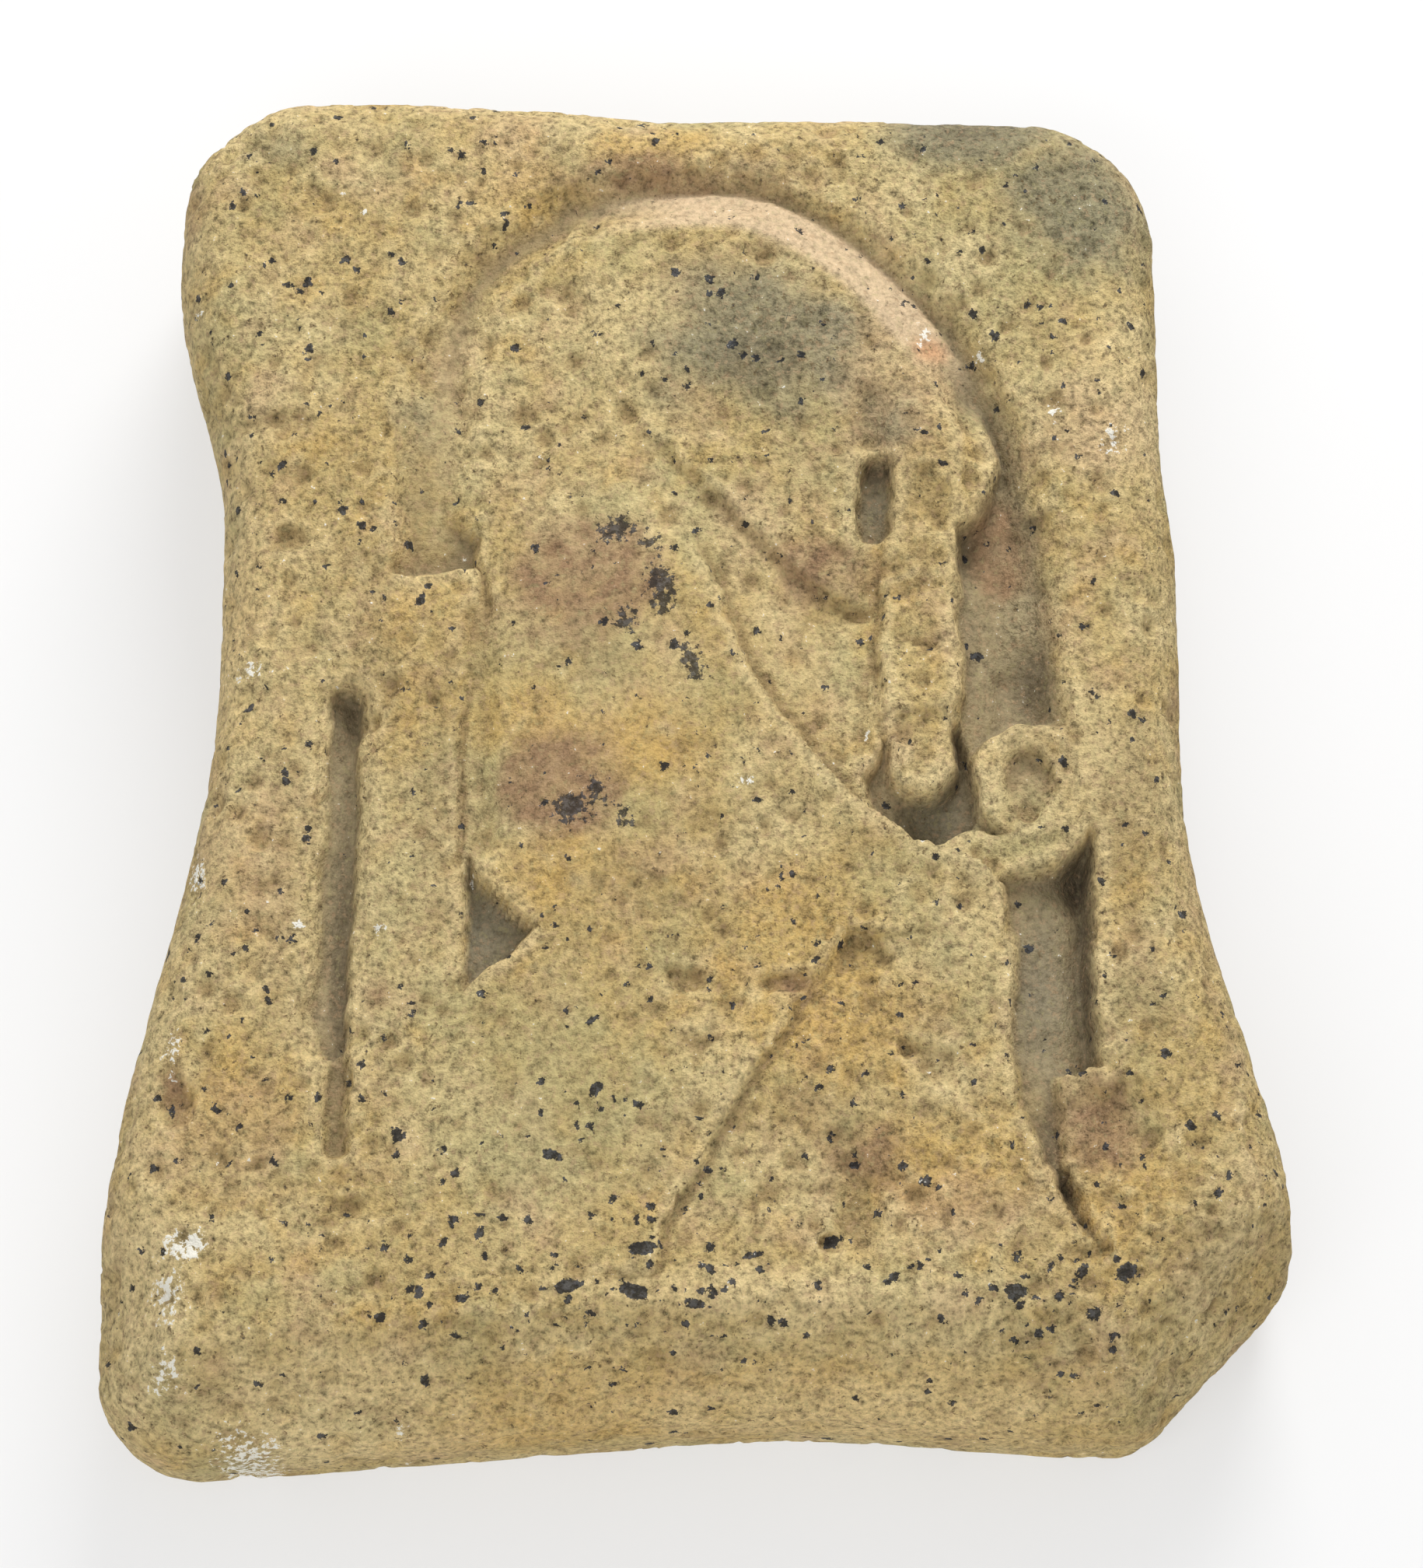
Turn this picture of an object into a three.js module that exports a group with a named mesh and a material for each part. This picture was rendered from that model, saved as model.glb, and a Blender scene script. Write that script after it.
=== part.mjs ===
// Worn stone relief panel, cut from one block of coarse sandstone.
//
// A thick slab with hollowed sides and a wider foot. A raised border frames an arched niche, which
// holds a seated figure turned to the right: a big rounded head, a strip hanging from it to a small
// round bowl, one arm running down to the bowl, and a knobbed post behind the back. Millimetres,
// +X right, +Z up, the carved face towards -Y, the flat back at Y = 0, and the origin at the middle
// of the back. "Depth" and "height" on the face are measured towards -Y from the back.

import * as THREE from 'three';
import { mergeVertices } from 'three/addons/utils/BufferGeometryUtils.js';

// Driving dimensions
const HEIGHT = 268;
const WAIST_WIDTH = 184;
const THICKNESS = 50; // at the raised border
const FRONT_EDGE_RUN = 13; // how far the worn front edge is rounded, across the face
const FRONT_EDGE_DROP = 16; // and down the side
const BACK_EDGE_RADIUS = 5;
const NICHE_DEPTH = 7;
const RIGHT_RECESS_DEPTH = 10;
const GROOVE_DEPTH = 6;
const FIGURE_SWELL = 3.2; // how far the body stands above the border

// Every place on the face below is given for this size, and scales with the driving sizes
const DRAWN_HEIGHT = 268;
const DRAWN_WAIST = 184;

// Fineness of the faceted solid
const FACE_COLUMNS = 52;
const FACE_ROWS = 70;
const SIDE_BANDS = 2;
const CROWDING = 0.1; // how much closer the columns and rows lie towards the edges
const BLUR = 1.3; // each height is the mean of nine places this far apart, so that steps stay even

// Outline: the half sizes of the slab and how they change along it
const OUTLINE = {
  leftWaist: 88.7,
  leftHeadFlare: 10.2,
  leftHeadFrom: 45,
  leftHeadTo: 95,
  leftFootFlare: 19.1,
  leftFootFrom: 15,
  leftFootTo: -100,
  rightHead: 91.6,
  rightWaist: 93.9,
  rightWaistFrom: 66,
  rightWaistTo: 38,
  rightFootFlare: 19,
  rightFootFrom: -5,
  rightFootTo: -98,
  top: 134,
  topSlope: -0.04,
  topDip: 1.6,
  topDipX: -6,
  topDipHalfWidth: 20,
  foot: -126.3,
  footHollowX: 20,
  footHollowSlope: 0.078,
  footHollowSoftness: 10,
};
const CORNER_RADIUS = { topLeft: 18, topRight: 25, footLeft: 17, footRight: 8 };

// Corners lost from the slab, each a straight line: its outward direction and its distance from the origin
const WORN_CORNER = { x: -0.66, z: 0.751, reach: 158, softness: 4 };
const BROKEN_CORNER = { x: 0.724, z: -0.69, reach: 151, softness: 2, run: 17, drop: 26 };

// Niche: an arch over straight sides
const ARCH = { x: 4, z: 45, left: 61, right: 67, rise: 75, leftPower: 2.5, rightPower: 1.7 };
const ARCH_SLOPE = { side: 4, crown: 11 }; // width of the slope from the border down to the floor
const NICHE_SILL = 33; // where the left strip of the niche ends, on top of the knob
const RECESS_FOOT = -101;
// Right limit of the recess, as [z, x]
const RECESS_RIGHT = [[45, 70], [20, 72], [0, 75], [-21, 77], [-65, 76.5], [-69, 70], [-84, 70], [-101, 78]];
// Depth of the recess as a share of its greatest depth, as [z, share]
const RECESS_FALL = [[60, 0.65], [20, 0.8], [-25, 1], [-62, 1], [-72, 0.7], [-90, 0.5], [-101, 0.25]];

// Figure
const HEAD = { x: 8, z: 55, left: 48, right: 52, rise: 57.5, leftPower: 2.8, rightPower: 1.6 };
const HEAD_EDGE = { side: 4, crown: 7 }; // width of its rounded edge
const CHIN = { x: 42, z: 55, halfWidth: 18.5, halfHeight: 17 };
const BODY_LEFT = -40;
// Right outline of the strip, the arm and the robe, as [z, x]
const BODY_RIGHT = [[60, 53], [0, 53], [-24, 54], [-30, 58], [-45, 61.5], [-72, 61], [-88, 68], [-101, 77]];
const TORSO = { x: -10, z: 16, halfWidth: 36, halfHeight: 50 };
const BELLY = { x: -6, z: -18, halfWidth: 38, halfHeight: 26, height: 2 };
// Upper edge of the arm, from the shoulder to the hand, as [z, x]
const ARM_EDGE = [[40, 0], [30, 4], [12, 11], [2, 18], [-13, 30], [-21, 42], [-27, 56]];
const ARM = { height: 1.4, width: 14, drop: 2.2 };
const STRIP = { topX: 45.5, top: 62, footX: 44, foot: -4, halfWidth: 7.5, height: 1.2 };
const SLOT = { topX: 36, top: 56, footX: 36, foot: 40, halfWidth: 3, depth: 5 };
const SLOT_TAIL = { topX: 36, top: 40, footX: 35.5, foot: 8, halfWidth: 2, depth: 1.4 };
const HAND_PIT = { x: 46, z: -11, halfWidth: 12, halfHeight: 11, depth: 9 };
const BOWL = { x: 63, z: -11, radius: 13, sunk: 0.5 };
const BOWL_DISH = { x: 63.5, z: -10, halfWidth: 5, halfHeight: 7.5, depth: 2.6 };
const HAND = { topX: 50, top: -26, footX: 68, foot: -23, halfWidth: 6 };
const POST_GROOVE = { topX: -63.8, top: 6, footX: -65.4, foot: -60, halfWidth: 3.8, depth: GROOVE_DEPTH };
const POST_GROOVE_END = { topX: -64, top: -60, footX: -63.5, foot: -80, halfWidth: 2.2, depth: 4 };
// Gap behind the back, round the knob and down the post
const BACK_GAP = { points: [[-38, 31], [-36, 20], [-39, 9], [-41, 2], [-41, -25]], halfWidth: 1.6, depth: 2.4 };
const ELBOW_RECESS = { corners: [[-40.5, -23], [-41.5, -50], [-26, -39]], depth: 5.5 };
const KNOB = { x: -49, z: 20, halfWidth: 14, halfHeight: 15, height: 2 };
const ROBE_FOLD = { points: [[18, -62], [11, -76], [4, -86], [0, -93], [-3, -102]], halfWidth: 2, depth: 1.5 };
const LAP_NOTCH = { x: 34, z: -45, halfWidth: 7, halfHeight: 6, depth: 2 };
const ROBE_HOLLOW = { x: 32, z: -96, halfWidth: 5, halfHeight: 9, depth: 2.4 };
const ROBE_WEAR = { x: 18, z: -84, halfWidth: 58, halfHeight: 22, depth: 2 };

function mix(a, b, t) {
  return a + (b - a) * t;
}

function smooth(from, to, value) {
  const t = Math.min(Math.max((value - from) / (to - from), 0), 1);
  return t * t * (3 - 2 * t);
}

// The smaller of two values, with a rounded change from one to the other
function softLimit(value, limit, softness) {
  const over = (value - limit) / softness;
  return limit + softness * (Math.min(over, 0) - Math.log1p(Math.exp(-Math.abs(over))));
}

// 1 inside a shape, 0 outside it, changing over the given softness at its edge
function inside(distance, softness) {
  return 1 - smooth(-softness / 2, softness / 2, distance);
}

// Value at z on a line through [z, value] pairs that run downwards
function along(pairs, z) {
  if (z >= pairs[0][0]) return pairs[0][1];
  for (let i = 1; i < pairs.length; i += 1) {
    const [upperZ, upperValue] = pairs[i - 1];
    const [lowerZ, lowerValue] = pairs[i];
    if (z >= lowerZ) return mix(lowerValue, upperValue, (z - lowerZ) / (upperZ - lowerZ));
  }
  return pairs[pairs.length - 1][1];
}

function toLine(x, z, fromX, fromZ, toX, toZ) {
  const dx = toX - fromX;
  const dz = toZ - fromZ;
  const t = Math.min(Math.max(((x - fromX) * dx + (z - fromZ) * dz) / (dx * dx + dz * dz), 0), 1);
  return Math.hypot(x - fromX - t * dx, z - fromZ - t * dz);
}

function toPath(x, z, points) {
  let nearest = Infinity;
  for (let i = 1; i < points.length; i += 1) {
    nearest = Math.min(nearest, toLine(x, z, ...points[i - 1], ...points[i]));
  }
  return nearest;
}

// Signed distance from a bar with round ends
function toBar(x, z, bar) {
  return toLine(x, z, bar.topX, bar.top, bar.footX, bar.foot) - bar.halfWidth;
}

// Signed distance from a shape with straight sides
function toPolygon(x, z, corners) {
  const edge = toPath(x, z, [...corners, corners[0]]);
  let within = false;
  for (let i = 0, j = corners.length - 1; i < corners.length; j = i, i += 1) {
    const [ax, az] = corners[i];
    const [bx, bz] = corners[j];
    if ((az > z) !== (bz > z) && x < ((bx - ax) * (z - az)) / (bz - az) + ax) within = !within;
  }
  return within ? -edge : edge;
}

// Height of a rounded swelling: 1 in its middle, 0 at its rim
function swelling(x, z, shape) {
  const r = ((x - shape.x) / shape.halfWidth) ** 2 + ((z - shape.z) / shape.halfHeight) ** 2;
  return r < 1 ? (1 - r) ** 1.5 : 0;
}

// Signed distance from an ellipse, near enough for a carved edge
function toEllipse(x, z, shape) {
  const dx = x - shape.x;
  const dz = z - shape.z;
  const q = Math.hypot(dx / shape.halfWidth, dz / shape.halfHeight);
  return q < 1e-6 ? -Math.min(shape.halfWidth, shape.halfHeight) : Math.hypot(dx, dz) * (1 - 1 / q);
}

// Signed distance from an arch: a square-shouldered or pointed half round over straight sides
function toArch(x, z, arch, leftSide, rightSide) {
  const dx = x - arch.x;
  if (z < arch.z) return dx < 0 ? leftSide - x : x - rightSide;
  const dz = z - arch.z;
  const halfWidth = dx < 0 ? arch.left : arch.right;
  const power = dx < 0 ? arch.leftPower : arch.rightPower;
  const q = ((Math.abs(dx) / halfWidth) ** power + (dz / arch.rise) ** power) ** (1 / power);
  return q < 1e-6 ? -arch.rise : Math.hypot(dx, dz) * (1 - 1 / q);
}

function leftHalf(z) {
  const o = OUTLINE;
  const head = o.leftHeadFlare * smooth(o.leftHeadFrom, o.leftHeadTo, z);
  const foot = o.leftFootFlare * smooth(o.leftFootFrom, o.leftFootTo, z);
  return o.leftWaist + head + foot;
}

function rightHalf(z) {
  const o = OUTLINE;
  const waist = mix(o.rightHead, o.rightWaist, smooth(o.rightWaistFrom, o.rightWaistTo, z));
  return waist + o.rightFootFlare * smooth(o.rightFootFrom, o.rightFootTo, z);
}

function topHalf(x) {
  const o = OUTLINE;
  const fromDip = (x - o.topDipX) / o.topDipHalfWidth;
  return o.top + o.topSlope * x - o.topDip * Math.exp(-(fromDip ** 2));
}

function footHalf(x) {
  const o = OUTLINE;
  const away = Math.hypot(x - o.footHollowX, o.footHollowSoftness) - o.footHollowSoftness;
  return -o.foot + o.footHollowSlope * away;
}

// A point of the plain slab, whose corners are still square; across and up run from -1 to 1
function slabPoint(across, up) {
  const halfHeight = up > 0 ? OUTLINE.top : -OUTLINE.foot;
  const z = up * halfHeight;
  const x = across * (across < 0 ? leftHalf(z) : rightHalf(z));
  return { x, z: up * (up > 0 ? topHalf(x) : footHalf(x)) };
}

// Pulls a point of the square rim back onto a rounded corner
function roundCorner(across, up) {
  const names = up > 0 ? ['topLeft', 'topRight'] : ['footLeft', 'footRight'];
  const radius = CORNER_RADIUS[names[across < 0 ? 0 : 1]];
  const inX = 1 - radius / (DRAWN_WAIST / 2);
  const inZ = 1 - radius / (DRAWN_HEIGHT / 2);
  const overX = Math.abs(across) - inX;
  const overZ = Math.abs(up) - inZ;
  if (overX <= 0 || overZ <= 0) return [across, up];
  const dx = overX / (1 - inX);
  const dz = overZ / (1 - inZ);
  const length = Math.hypot(dx, dz);
  return [
    Math.sign(across) * (inX + ((1 - inX) * dx) / length),
    Math.sign(up) * (inZ + ((1 - inZ) * dz) / length),
  ];
}

function rimPoint(across, up) {
  const point = slabPoint(...roundCorner(across, up));
  for (const corner of [WORN_CORNER, BROKEN_CORNER]) {
    const reach = corner.x * point.x + corner.z * point.z;
    if (reach < corner.reach / 2) continue;
    const kept = softLimit(reach, corner.reach, corner.softness) / reach;
    point.x *= kept;
    point.z *= kept;
  }
  return point;
}

// Place on the face of a grid point, in drawn millimetres
function facePoint(across, up) {
  const level = Math.max(Math.abs(across), Math.abs(up));
  if (level < 1e-9) return { x: 0, z: 0 };
  const rim = rimPoint(across / level, up / level);
  const plain = slabPoint(across, up);
  const pull = level ** 3;
  return { x: mix(plain.x, level * rim.x, pull), z: mix(plain.z, level * rim.z, pull) };
}

// Signed distance from the outline of the figure
function toFigure(x, z) {
  const head = z > HEAD.z ? toArch(x, z, HEAD, 0, 0) : Infinity;
  const body = z > HEAD.z ? Infinity : Math.max(BODY_LEFT - x, x - along(BODY_RIGHT, z));
  return Math.min(head, body, toEllipse(x, z, CHIN));
}

function nicheDepth(x, z) {
  const crown = smooth(50, 100, z);
  const slope = mix(ARCH_SLOPE.side, ARCH_SLOPE.crown, crown);
  const edge = mix(HEAD_EDGE.side, HEAD_EDGE.crown, crown);
  const foot = x < 0 ? NICHE_SILL : RECESS_FOOT;
  const arch = toArch(x, z, ARCH, ARCH.x - ARCH.left, along(RECESS_RIGHT, z));
  const niche = Math.max(arch, foot - z);
  const atRight = smooth(30, 45, x) * (1 - smooth(50, 70, z));
  const depth = mix(NICHE_DEPTH, RIGHT_RECESS_DEPTH * along(RECESS_FALL, z), atRight);
  return depth * inside(niche + slope / 2, slope) * (1 - inside(toFigure(x, z) + edge / 2, edge));
}

// Height of the body and its parts above the border, or below it where it is less than 0
function figureHeight(x, z) {
  const pastArm = x - along(ARM_EDGE, z);
  const onArm = smooth(-ARM.width, 0, pastArm) * (1 - smooth(0, 2.5, pastArm));
  const lap = smooth(0, 2.5, pastArm) * (1 - smooth(34, 38, x)) * (1 - smooth(25, 45, z));
  const besideArm = smooth(-34, -26, z) * (1 - smooth(28, 44, z));
  let height = FIGURE_SWELL * swelling(x, z, TORSO) + BELLY.height * swelling(x, z, BELLY);
  height += (ARM.height * onArm - ARM.drop * lap) * besideArm;
  height += STRIP.height * inside(toBar(x, z, STRIP), 3);
  height += KNOB.height * swelling(x, z, KNOB);
  return height;
}

function cutDepth(x, z) {
  const pit = Math.max(toEllipse(x, z, HAND_PIT), -toBar(x, z, STRIP));
  const gap = toPath(x, z, BACK_GAP.points) - BACK_GAP.halfWidth;
  const fold = toPath(x, z, ROBE_FOLD.points) - ROBE_FOLD.halfWidth;
  const bars = [SLOT, SLOT_TAIL, POST_GROOVE, POST_GROOVE_END];
  const hollows = [LAP_NOTCH, ROBE_HOLLOW, ROBE_WEAR];
  return Math.max(
    HAND_PIT.depth * inside(pit, 3),
    BACK_GAP.depth * inside(gap, 2.5),
    ROBE_FOLD.depth * inside(fold, 3),
    ELBOW_RECESS.depth * inside(toPolygon(x, z, ELBOW_RECESS.corners), 2.5),
    ...bars.map((bar) => bar.depth * inside(toBar(x, z, bar), 2.5)),
    ...hollows.map((hollow) => hollow.depth * swelling(x, z, hollow)),
  );
}

// Fills the recess again where the bowl and the hand stand in it
function aroundBowl(x, z, depth) {
  const bowl = Math.hypot(x - BOWL.x, z - BOWL.z) - BOWL.radius;
  const dish = BOWL_DISH.depth * inside(toEllipse(x, z, BOWL_DISH), 4);
  const kept = inside(Math.min(bowl, toBar(x, z, HAND)) + 1, 2.5);
  return mix(depth, Math.min(depth, BOWL.sunk) + dish, kept);
}

// Depth lost at the worn front edge and at the broken corner
function edgeDrop(x, z, toRim) {
  const near = Math.min(Math.max(1 - toRim / FRONT_EDGE_RUN, 0), 1);
  const worn = FRONT_EDGE_DROP * (1 - Math.sqrt(1 - near * near));
  const toBreak = BROKEN_CORNER.reach - BROKEN_CORNER.x * x - BROKEN_CORNER.z * z;
  const broken = BROKEN_CORNER.drop * (1 - smooth(-4, BROKEN_CORNER.run, toBreak)) ** 1.3;
  return Math.max(worn, broken);
}

// Height of the face above the back, at a place in drawn millimetres
function heightAt(x, z, toRim) {
  const depth = aroundBowl(x, z, Math.max(nicheDepth(x, z), cutDepth(x, z)));
  const wear = 0.5 * Math.sin(x / 17 + 1.3) * Math.cos(z / 23 - 0.4) + 0.3 * Math.sin(x / 9 - z / 11);
  return THICKNESS - depth + figureHeight(x, z) + wear - edgeDrop(x, z, toRim);
}

function faceHeight(x, z, toRim) {
  let sum = 0;
  for (const dx of [-BLUR, 0, BLUR]) {
    for (const dz of [-BLUR, 0, BLUR]) sum += heightAt(x + dx, z + dz, toRim);
  }
  return sum / 9;
}

function crowded(t) {
  return t * (1 + CROWDING * (1 - t * t));
}

// The rim of the face as a closed loop of [column, row], starting at the foot's left corner
function rimLoop() {
  const loop = [];
  for (let column = 0; column < FACE_COLUMNS; column += 1) loop.push([column, 0]);
  for (let row = 0; row < FACE_ROWS; row += 1) loop.push([FACE_COLUMNS, row]);
  for (let column = FACE_COLUMNS; column > 0; column -= 1) loop.push([column, FACE_ROWS]);
  for (let row = FACE_ROWS; row > 0; row -= 1) loop.push([0, row]);
  return loop;
}

function panelGeometry() {
  const scaleX = WAIST_WIDTH / DRAWN_WAIST;
  const scaleZ = HEIGHT / DRAWN_HEIGHT;
  const plan = [];
  for (let row = 0; row <= FACE_ROWS; row += 1) {
    for (let column = 0; column <= FACE_COLUMNS; column += 1) {
      plan.push(facePoint(crowded((2 * column) / FACE_COLUMNS - 1), crowded((2 * row) / FACE_ROWS - 1)));
    }
  }
  const at = (column, row) => row * (FACE_COLUMNS + 1) + column;
  const rim = rimLoop().map(([column, row]) => at(column, row));
  const rimPath = [...rim, rim[0]].map((i) => [plan[i].x, plan[i].z]);

  const vertices = [];
  const triangles = [];
  const addVertex = (x, z, height) => vertices.push([x * scaleX, -height, z * scaleZ]) - 1;

  // Carved face
  for (const { x, z } of plan) addVertex(x, z, faceHeight(x, z, toPath(x, z, rimPath)));
  for (let row = 0; row < FACE_ROWS; row += 1) {
    for (let column = 0; column < FACE_COLUMNS; column += 1) {
      const a = at(column, row);
      const b = at(column + 1, row);
      const c = at(column + 1, row + 1);
      const d = at(column, row + 1);
      const rise = (from, to) => Math.abs(vertices[from][1] - vertices[to][1]);
      triangles.push(...(rise(a, c) < rise(b, d) ? [[a, b, c], [a, c, d]] : [[a, b, d], [b, c, d]]));
    }
  }

  // Sides, from the rim of the face down to the rounded back edge, then the flat back
  const count = rim.length;
  const inward = rim.map((_, i) => {
    const before = plan[rim[(i + count - 1) % count]];
    const after = plan[rim[(i + 1) % count]];
    const length = Math.hypot(after.x - before.x, after.z - before.z);
    return { x: -(after.z - before.z) / length, z: (after.x - before.x) / length };
  });
  const addBand = (inset, heightOf) => rim.map((i, k) => {
    const { x, z } = inward[k];
    return addVertex(plan[i].x + inset * x, plan[i].z + inset * z, heightOf(i));
  });
  const bands = [rim];
  for (let band = 1; band <= SIDE_BANDS; band += 1) {
    bands.push(addBand(0, (i) => mix(-vertices[i][1], BACK_EDGE_RADIUS, band / SIDE_BANDS)));
  }
  bands.push(addBand(BACK_EDGE_RADIUS * 0.3, () => BACK_EDGE_RADIUS * 0.3));
  bands.push(addBand(BACK_EDGE_RADIUS, () => 0));
  for (let band = 1; band < bands.length; band += 1) {
    for (let k = 0; k < count; k += 1) {
      const next = (k + 1) % count;
      const [a, b, c, d] = [bands[band - 1][k], bands[band - 1][next], bands[band][next], bands[band][k]];
      triangles.push([a, d, b], [b, d, c]);
    }
  }
  const back = bands[bands.length - 1];
  const contour = back.map((i) => new THREE.Vector2(vertices[i][0], vertices[i][2]));
  for (const [a, b, c] of THREE.ShapeUtils.triangulateShape(contour, [])) {
    triangles.push([back[a], back[c], back[b]]);
  }

  const geometry = new THREE.BufferGeometry();
  geometry.setAttribute('position', new THREE.Float32BufferAttribute(vertices.flat(), 3));
  geometry.setIndex(triangles.flat());
  const closed = mergeVertices(geometry, 1e-4);
  closed.computeVertexNormals();
  return closed;
}

const sandstone = new THREE.MeshStandardMaterial({ color: 0xb59c64, roughness: 0.95, metalness: 0 });
const reliefPanel = new THREE.Mesh(panelGeometry(), sandstone);
reliefPanel.name = 'relief_panel';

const group = new THREE.Group();
group.add(reliefPanel);

export default group;
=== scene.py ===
import itertools
import math

import bpy
import numpy as np
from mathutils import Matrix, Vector
from mathutils.kdtree import KDTree


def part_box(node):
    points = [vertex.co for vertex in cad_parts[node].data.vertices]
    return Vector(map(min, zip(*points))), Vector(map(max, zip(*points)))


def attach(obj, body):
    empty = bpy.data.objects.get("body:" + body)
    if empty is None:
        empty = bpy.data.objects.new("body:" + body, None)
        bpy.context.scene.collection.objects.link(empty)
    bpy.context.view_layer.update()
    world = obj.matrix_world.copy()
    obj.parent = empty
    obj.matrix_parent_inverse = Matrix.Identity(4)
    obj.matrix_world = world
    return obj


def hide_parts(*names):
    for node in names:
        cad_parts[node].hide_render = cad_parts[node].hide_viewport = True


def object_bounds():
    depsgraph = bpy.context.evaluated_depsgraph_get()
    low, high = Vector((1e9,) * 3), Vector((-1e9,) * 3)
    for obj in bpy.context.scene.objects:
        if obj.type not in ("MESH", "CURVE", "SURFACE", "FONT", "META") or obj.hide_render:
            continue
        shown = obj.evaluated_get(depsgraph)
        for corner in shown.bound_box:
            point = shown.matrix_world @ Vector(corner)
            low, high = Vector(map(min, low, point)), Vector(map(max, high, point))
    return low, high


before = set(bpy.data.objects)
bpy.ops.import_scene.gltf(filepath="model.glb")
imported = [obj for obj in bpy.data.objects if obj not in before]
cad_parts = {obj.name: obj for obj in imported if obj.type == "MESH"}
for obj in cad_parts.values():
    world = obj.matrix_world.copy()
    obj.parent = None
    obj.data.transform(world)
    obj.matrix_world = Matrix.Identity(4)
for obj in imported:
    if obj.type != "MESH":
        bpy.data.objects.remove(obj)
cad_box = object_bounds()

bl_info = {
    "name": "Stone relief panel",
    "version": (1, 0, 0),
    "blender": (4, 5, 0),
    "location": "3D View > Sidebar > Relief",
    "description": "Carves, weathers and colours a worn sandstone relief panel and lights it",
    "category": "Object",
}

PANEL_NODE = "relief_panel"
PANEL_NAME = "weathered_relief_panel"
MM = 0.001

# Fineness of the mesh
FACE_COLUMNS = 232
FACE_ROWS = 284
ROUND_BANDS = 4
SIDE_BANDS = 14
BACK_BANDS = 2
ALL_BANDS = ROUND_BANDS + SIDE_BANDS + BACK_BANDS
BACK_COLUMNS = 58
BACK_ROWS = 71
CROWDING = 0.03

# The slab as drawn, in millimetres; it is scaled at the end to the box of the solid it stands for
DRAWN_WAIST = 184
DRAWN_HEIGHT = 268
THICKNESS = 50
FRONT_EDGE_RUN = 13
FRONT_EDGE_DROP = 16
FOOT_RUN = 20
FOOT_DROP = 10
BACK_EDGE_RADIUS = 5
FACE_TURN = math.radians(60)
SIDE_TAPER = 1.2
CORNER_RADIUS = {("left", "top"): 18, ("right", "top"): 25, ("left", "foot"): 17, ("right", "foot"): 8}
WORN_CORNER = {"x": -0.66, "z": 0.751, "reach": 158, "softness": 4}
BROKEN_CORNER = {"x": 0.724, "z": -0.69, "reach": 151, "softness": 2, "run": 17, "drop": 26}

# Niche and figure
NICHE_DEPTH = 6.8
LEFT_NICHE_DEPTH = 4.2
RECESS_DEPTH = 10
ARCH = {"x": 4, "z": 45, "left": 62, "right": 67, "rise": 75, "left_power": 2.5, "right_power": 1.7}
HEAD = {"x": 8, "z": 55, "left": 55, "right": 52, "rise": 57.5, "left_power": 2.8, "right_power": 1.6}
WORN_BEVEL = 8.5
NICHE_SILL = 32
RECESS_FOOT = -101
RECESS_RIGHT = [(50, 73), (20, 74), (2, 75), (-21, 77), (-65, 76.5), (-67, 70), (-84, 70), (-101, 79)]
RECESS_FALL = [(-25, 0.85), (-62, 0.9), (-70, 0.7), (-90, 0.55), (-101, 0.2)]
BODY_LEFT = -40
BODY_RIGHT = [(60, 53), (0, 52), (-24, 54), (-30, 59.5), (-45, 61.5), (-72, 61), (-90, 69.5), (-101, 77)]
ARM_EDGE = [(40, 0), (30, 4), (12, 11), (2, 18), (-13, 30), (-21, 42), (-27, 56)]
BACK_GAP = [(-39, 33), (-37.3, 26), (-37.3, 17), (-39.5, 9), (-41.3, 2), (-41.5, -25)]
ROBE_FOLD = [(30.5, -40), (26, -46), (19, -58), (10, -72), (2, -86), (-3, -95), (-5, -104)]
BRAID_EDGE = [
    (-21, 92), (-18, 78), (-14, 68), (-6, 58), (3, 50), (9, 43), (17, 36), (23, 29), (30, 25.5), (36.5, 23)]
HAND = [(52, -23), (59, -24.5), (67, -22.5), (71, -18)]
HAND_PIT = [(33.5, -8.5), (38, 0), (52, 2), (54, -8), (56, -15), (51, -22), (43, -21.5), (36, -16)]
ELBOW_RECESS = [(-40.3, -24), (-40.8, -49.5), (-27.5, -38.8), (-32, -36.2), (-36, -32)]
LAP_NOTCH = [(29, -39), (34, -40.5), (39, -45), (33, -51), (27, -48)]
POST_GROOVE = [(-64, 6), (-65, -60)]

# Swellings and hollows of the body, the post and the foot: height, x, z, half width, half height
BODY_SWELLS = [
    (3.4, -10, 16, 38, 52), (2, -6, -18, 40, 28), (1.5, 6, 80, 50, 40), (1.6, 48, 58, 13, 14),
    (2.2, -49, 21, 13, 15), (1.4, -60, 41, 9, 8), (0.9, -51, -18, 9, 60), (1.4, 46, -40, 15, 22),
    (0.9, 48, -86, 16, 14), (0.8, -20, -75, 18, 34), (0.7, 16, -66, 9, 26), (-1.8, 18, -88, 62, 22),
    (-1.3, -70, -94, 30, 14), (-1.2, 57, -62, 9, 14), (-2.6, 77, -80, 13, 17)]
# Straight grooves beside the strip, behind the back and under the post: depth, ends, half width, softness
GROOVES = [
    (5.2, (36.4, 52.5), (36.2, 42), 3, 1.6), (1.8, (36, 60), (36, 67), 3, 6),
    (1.5, (36.8, 42), (36, 12), 0.8, 2.6), (1.4, (36, 1), (40.5, -8), 0.4, 1.8),
    (1.9, (-38.3, 22), (-38.3, -22), 2.6, 5), (4, (-64.3, -58), (-63.3, -80), 1.9, 2.2)]
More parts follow.
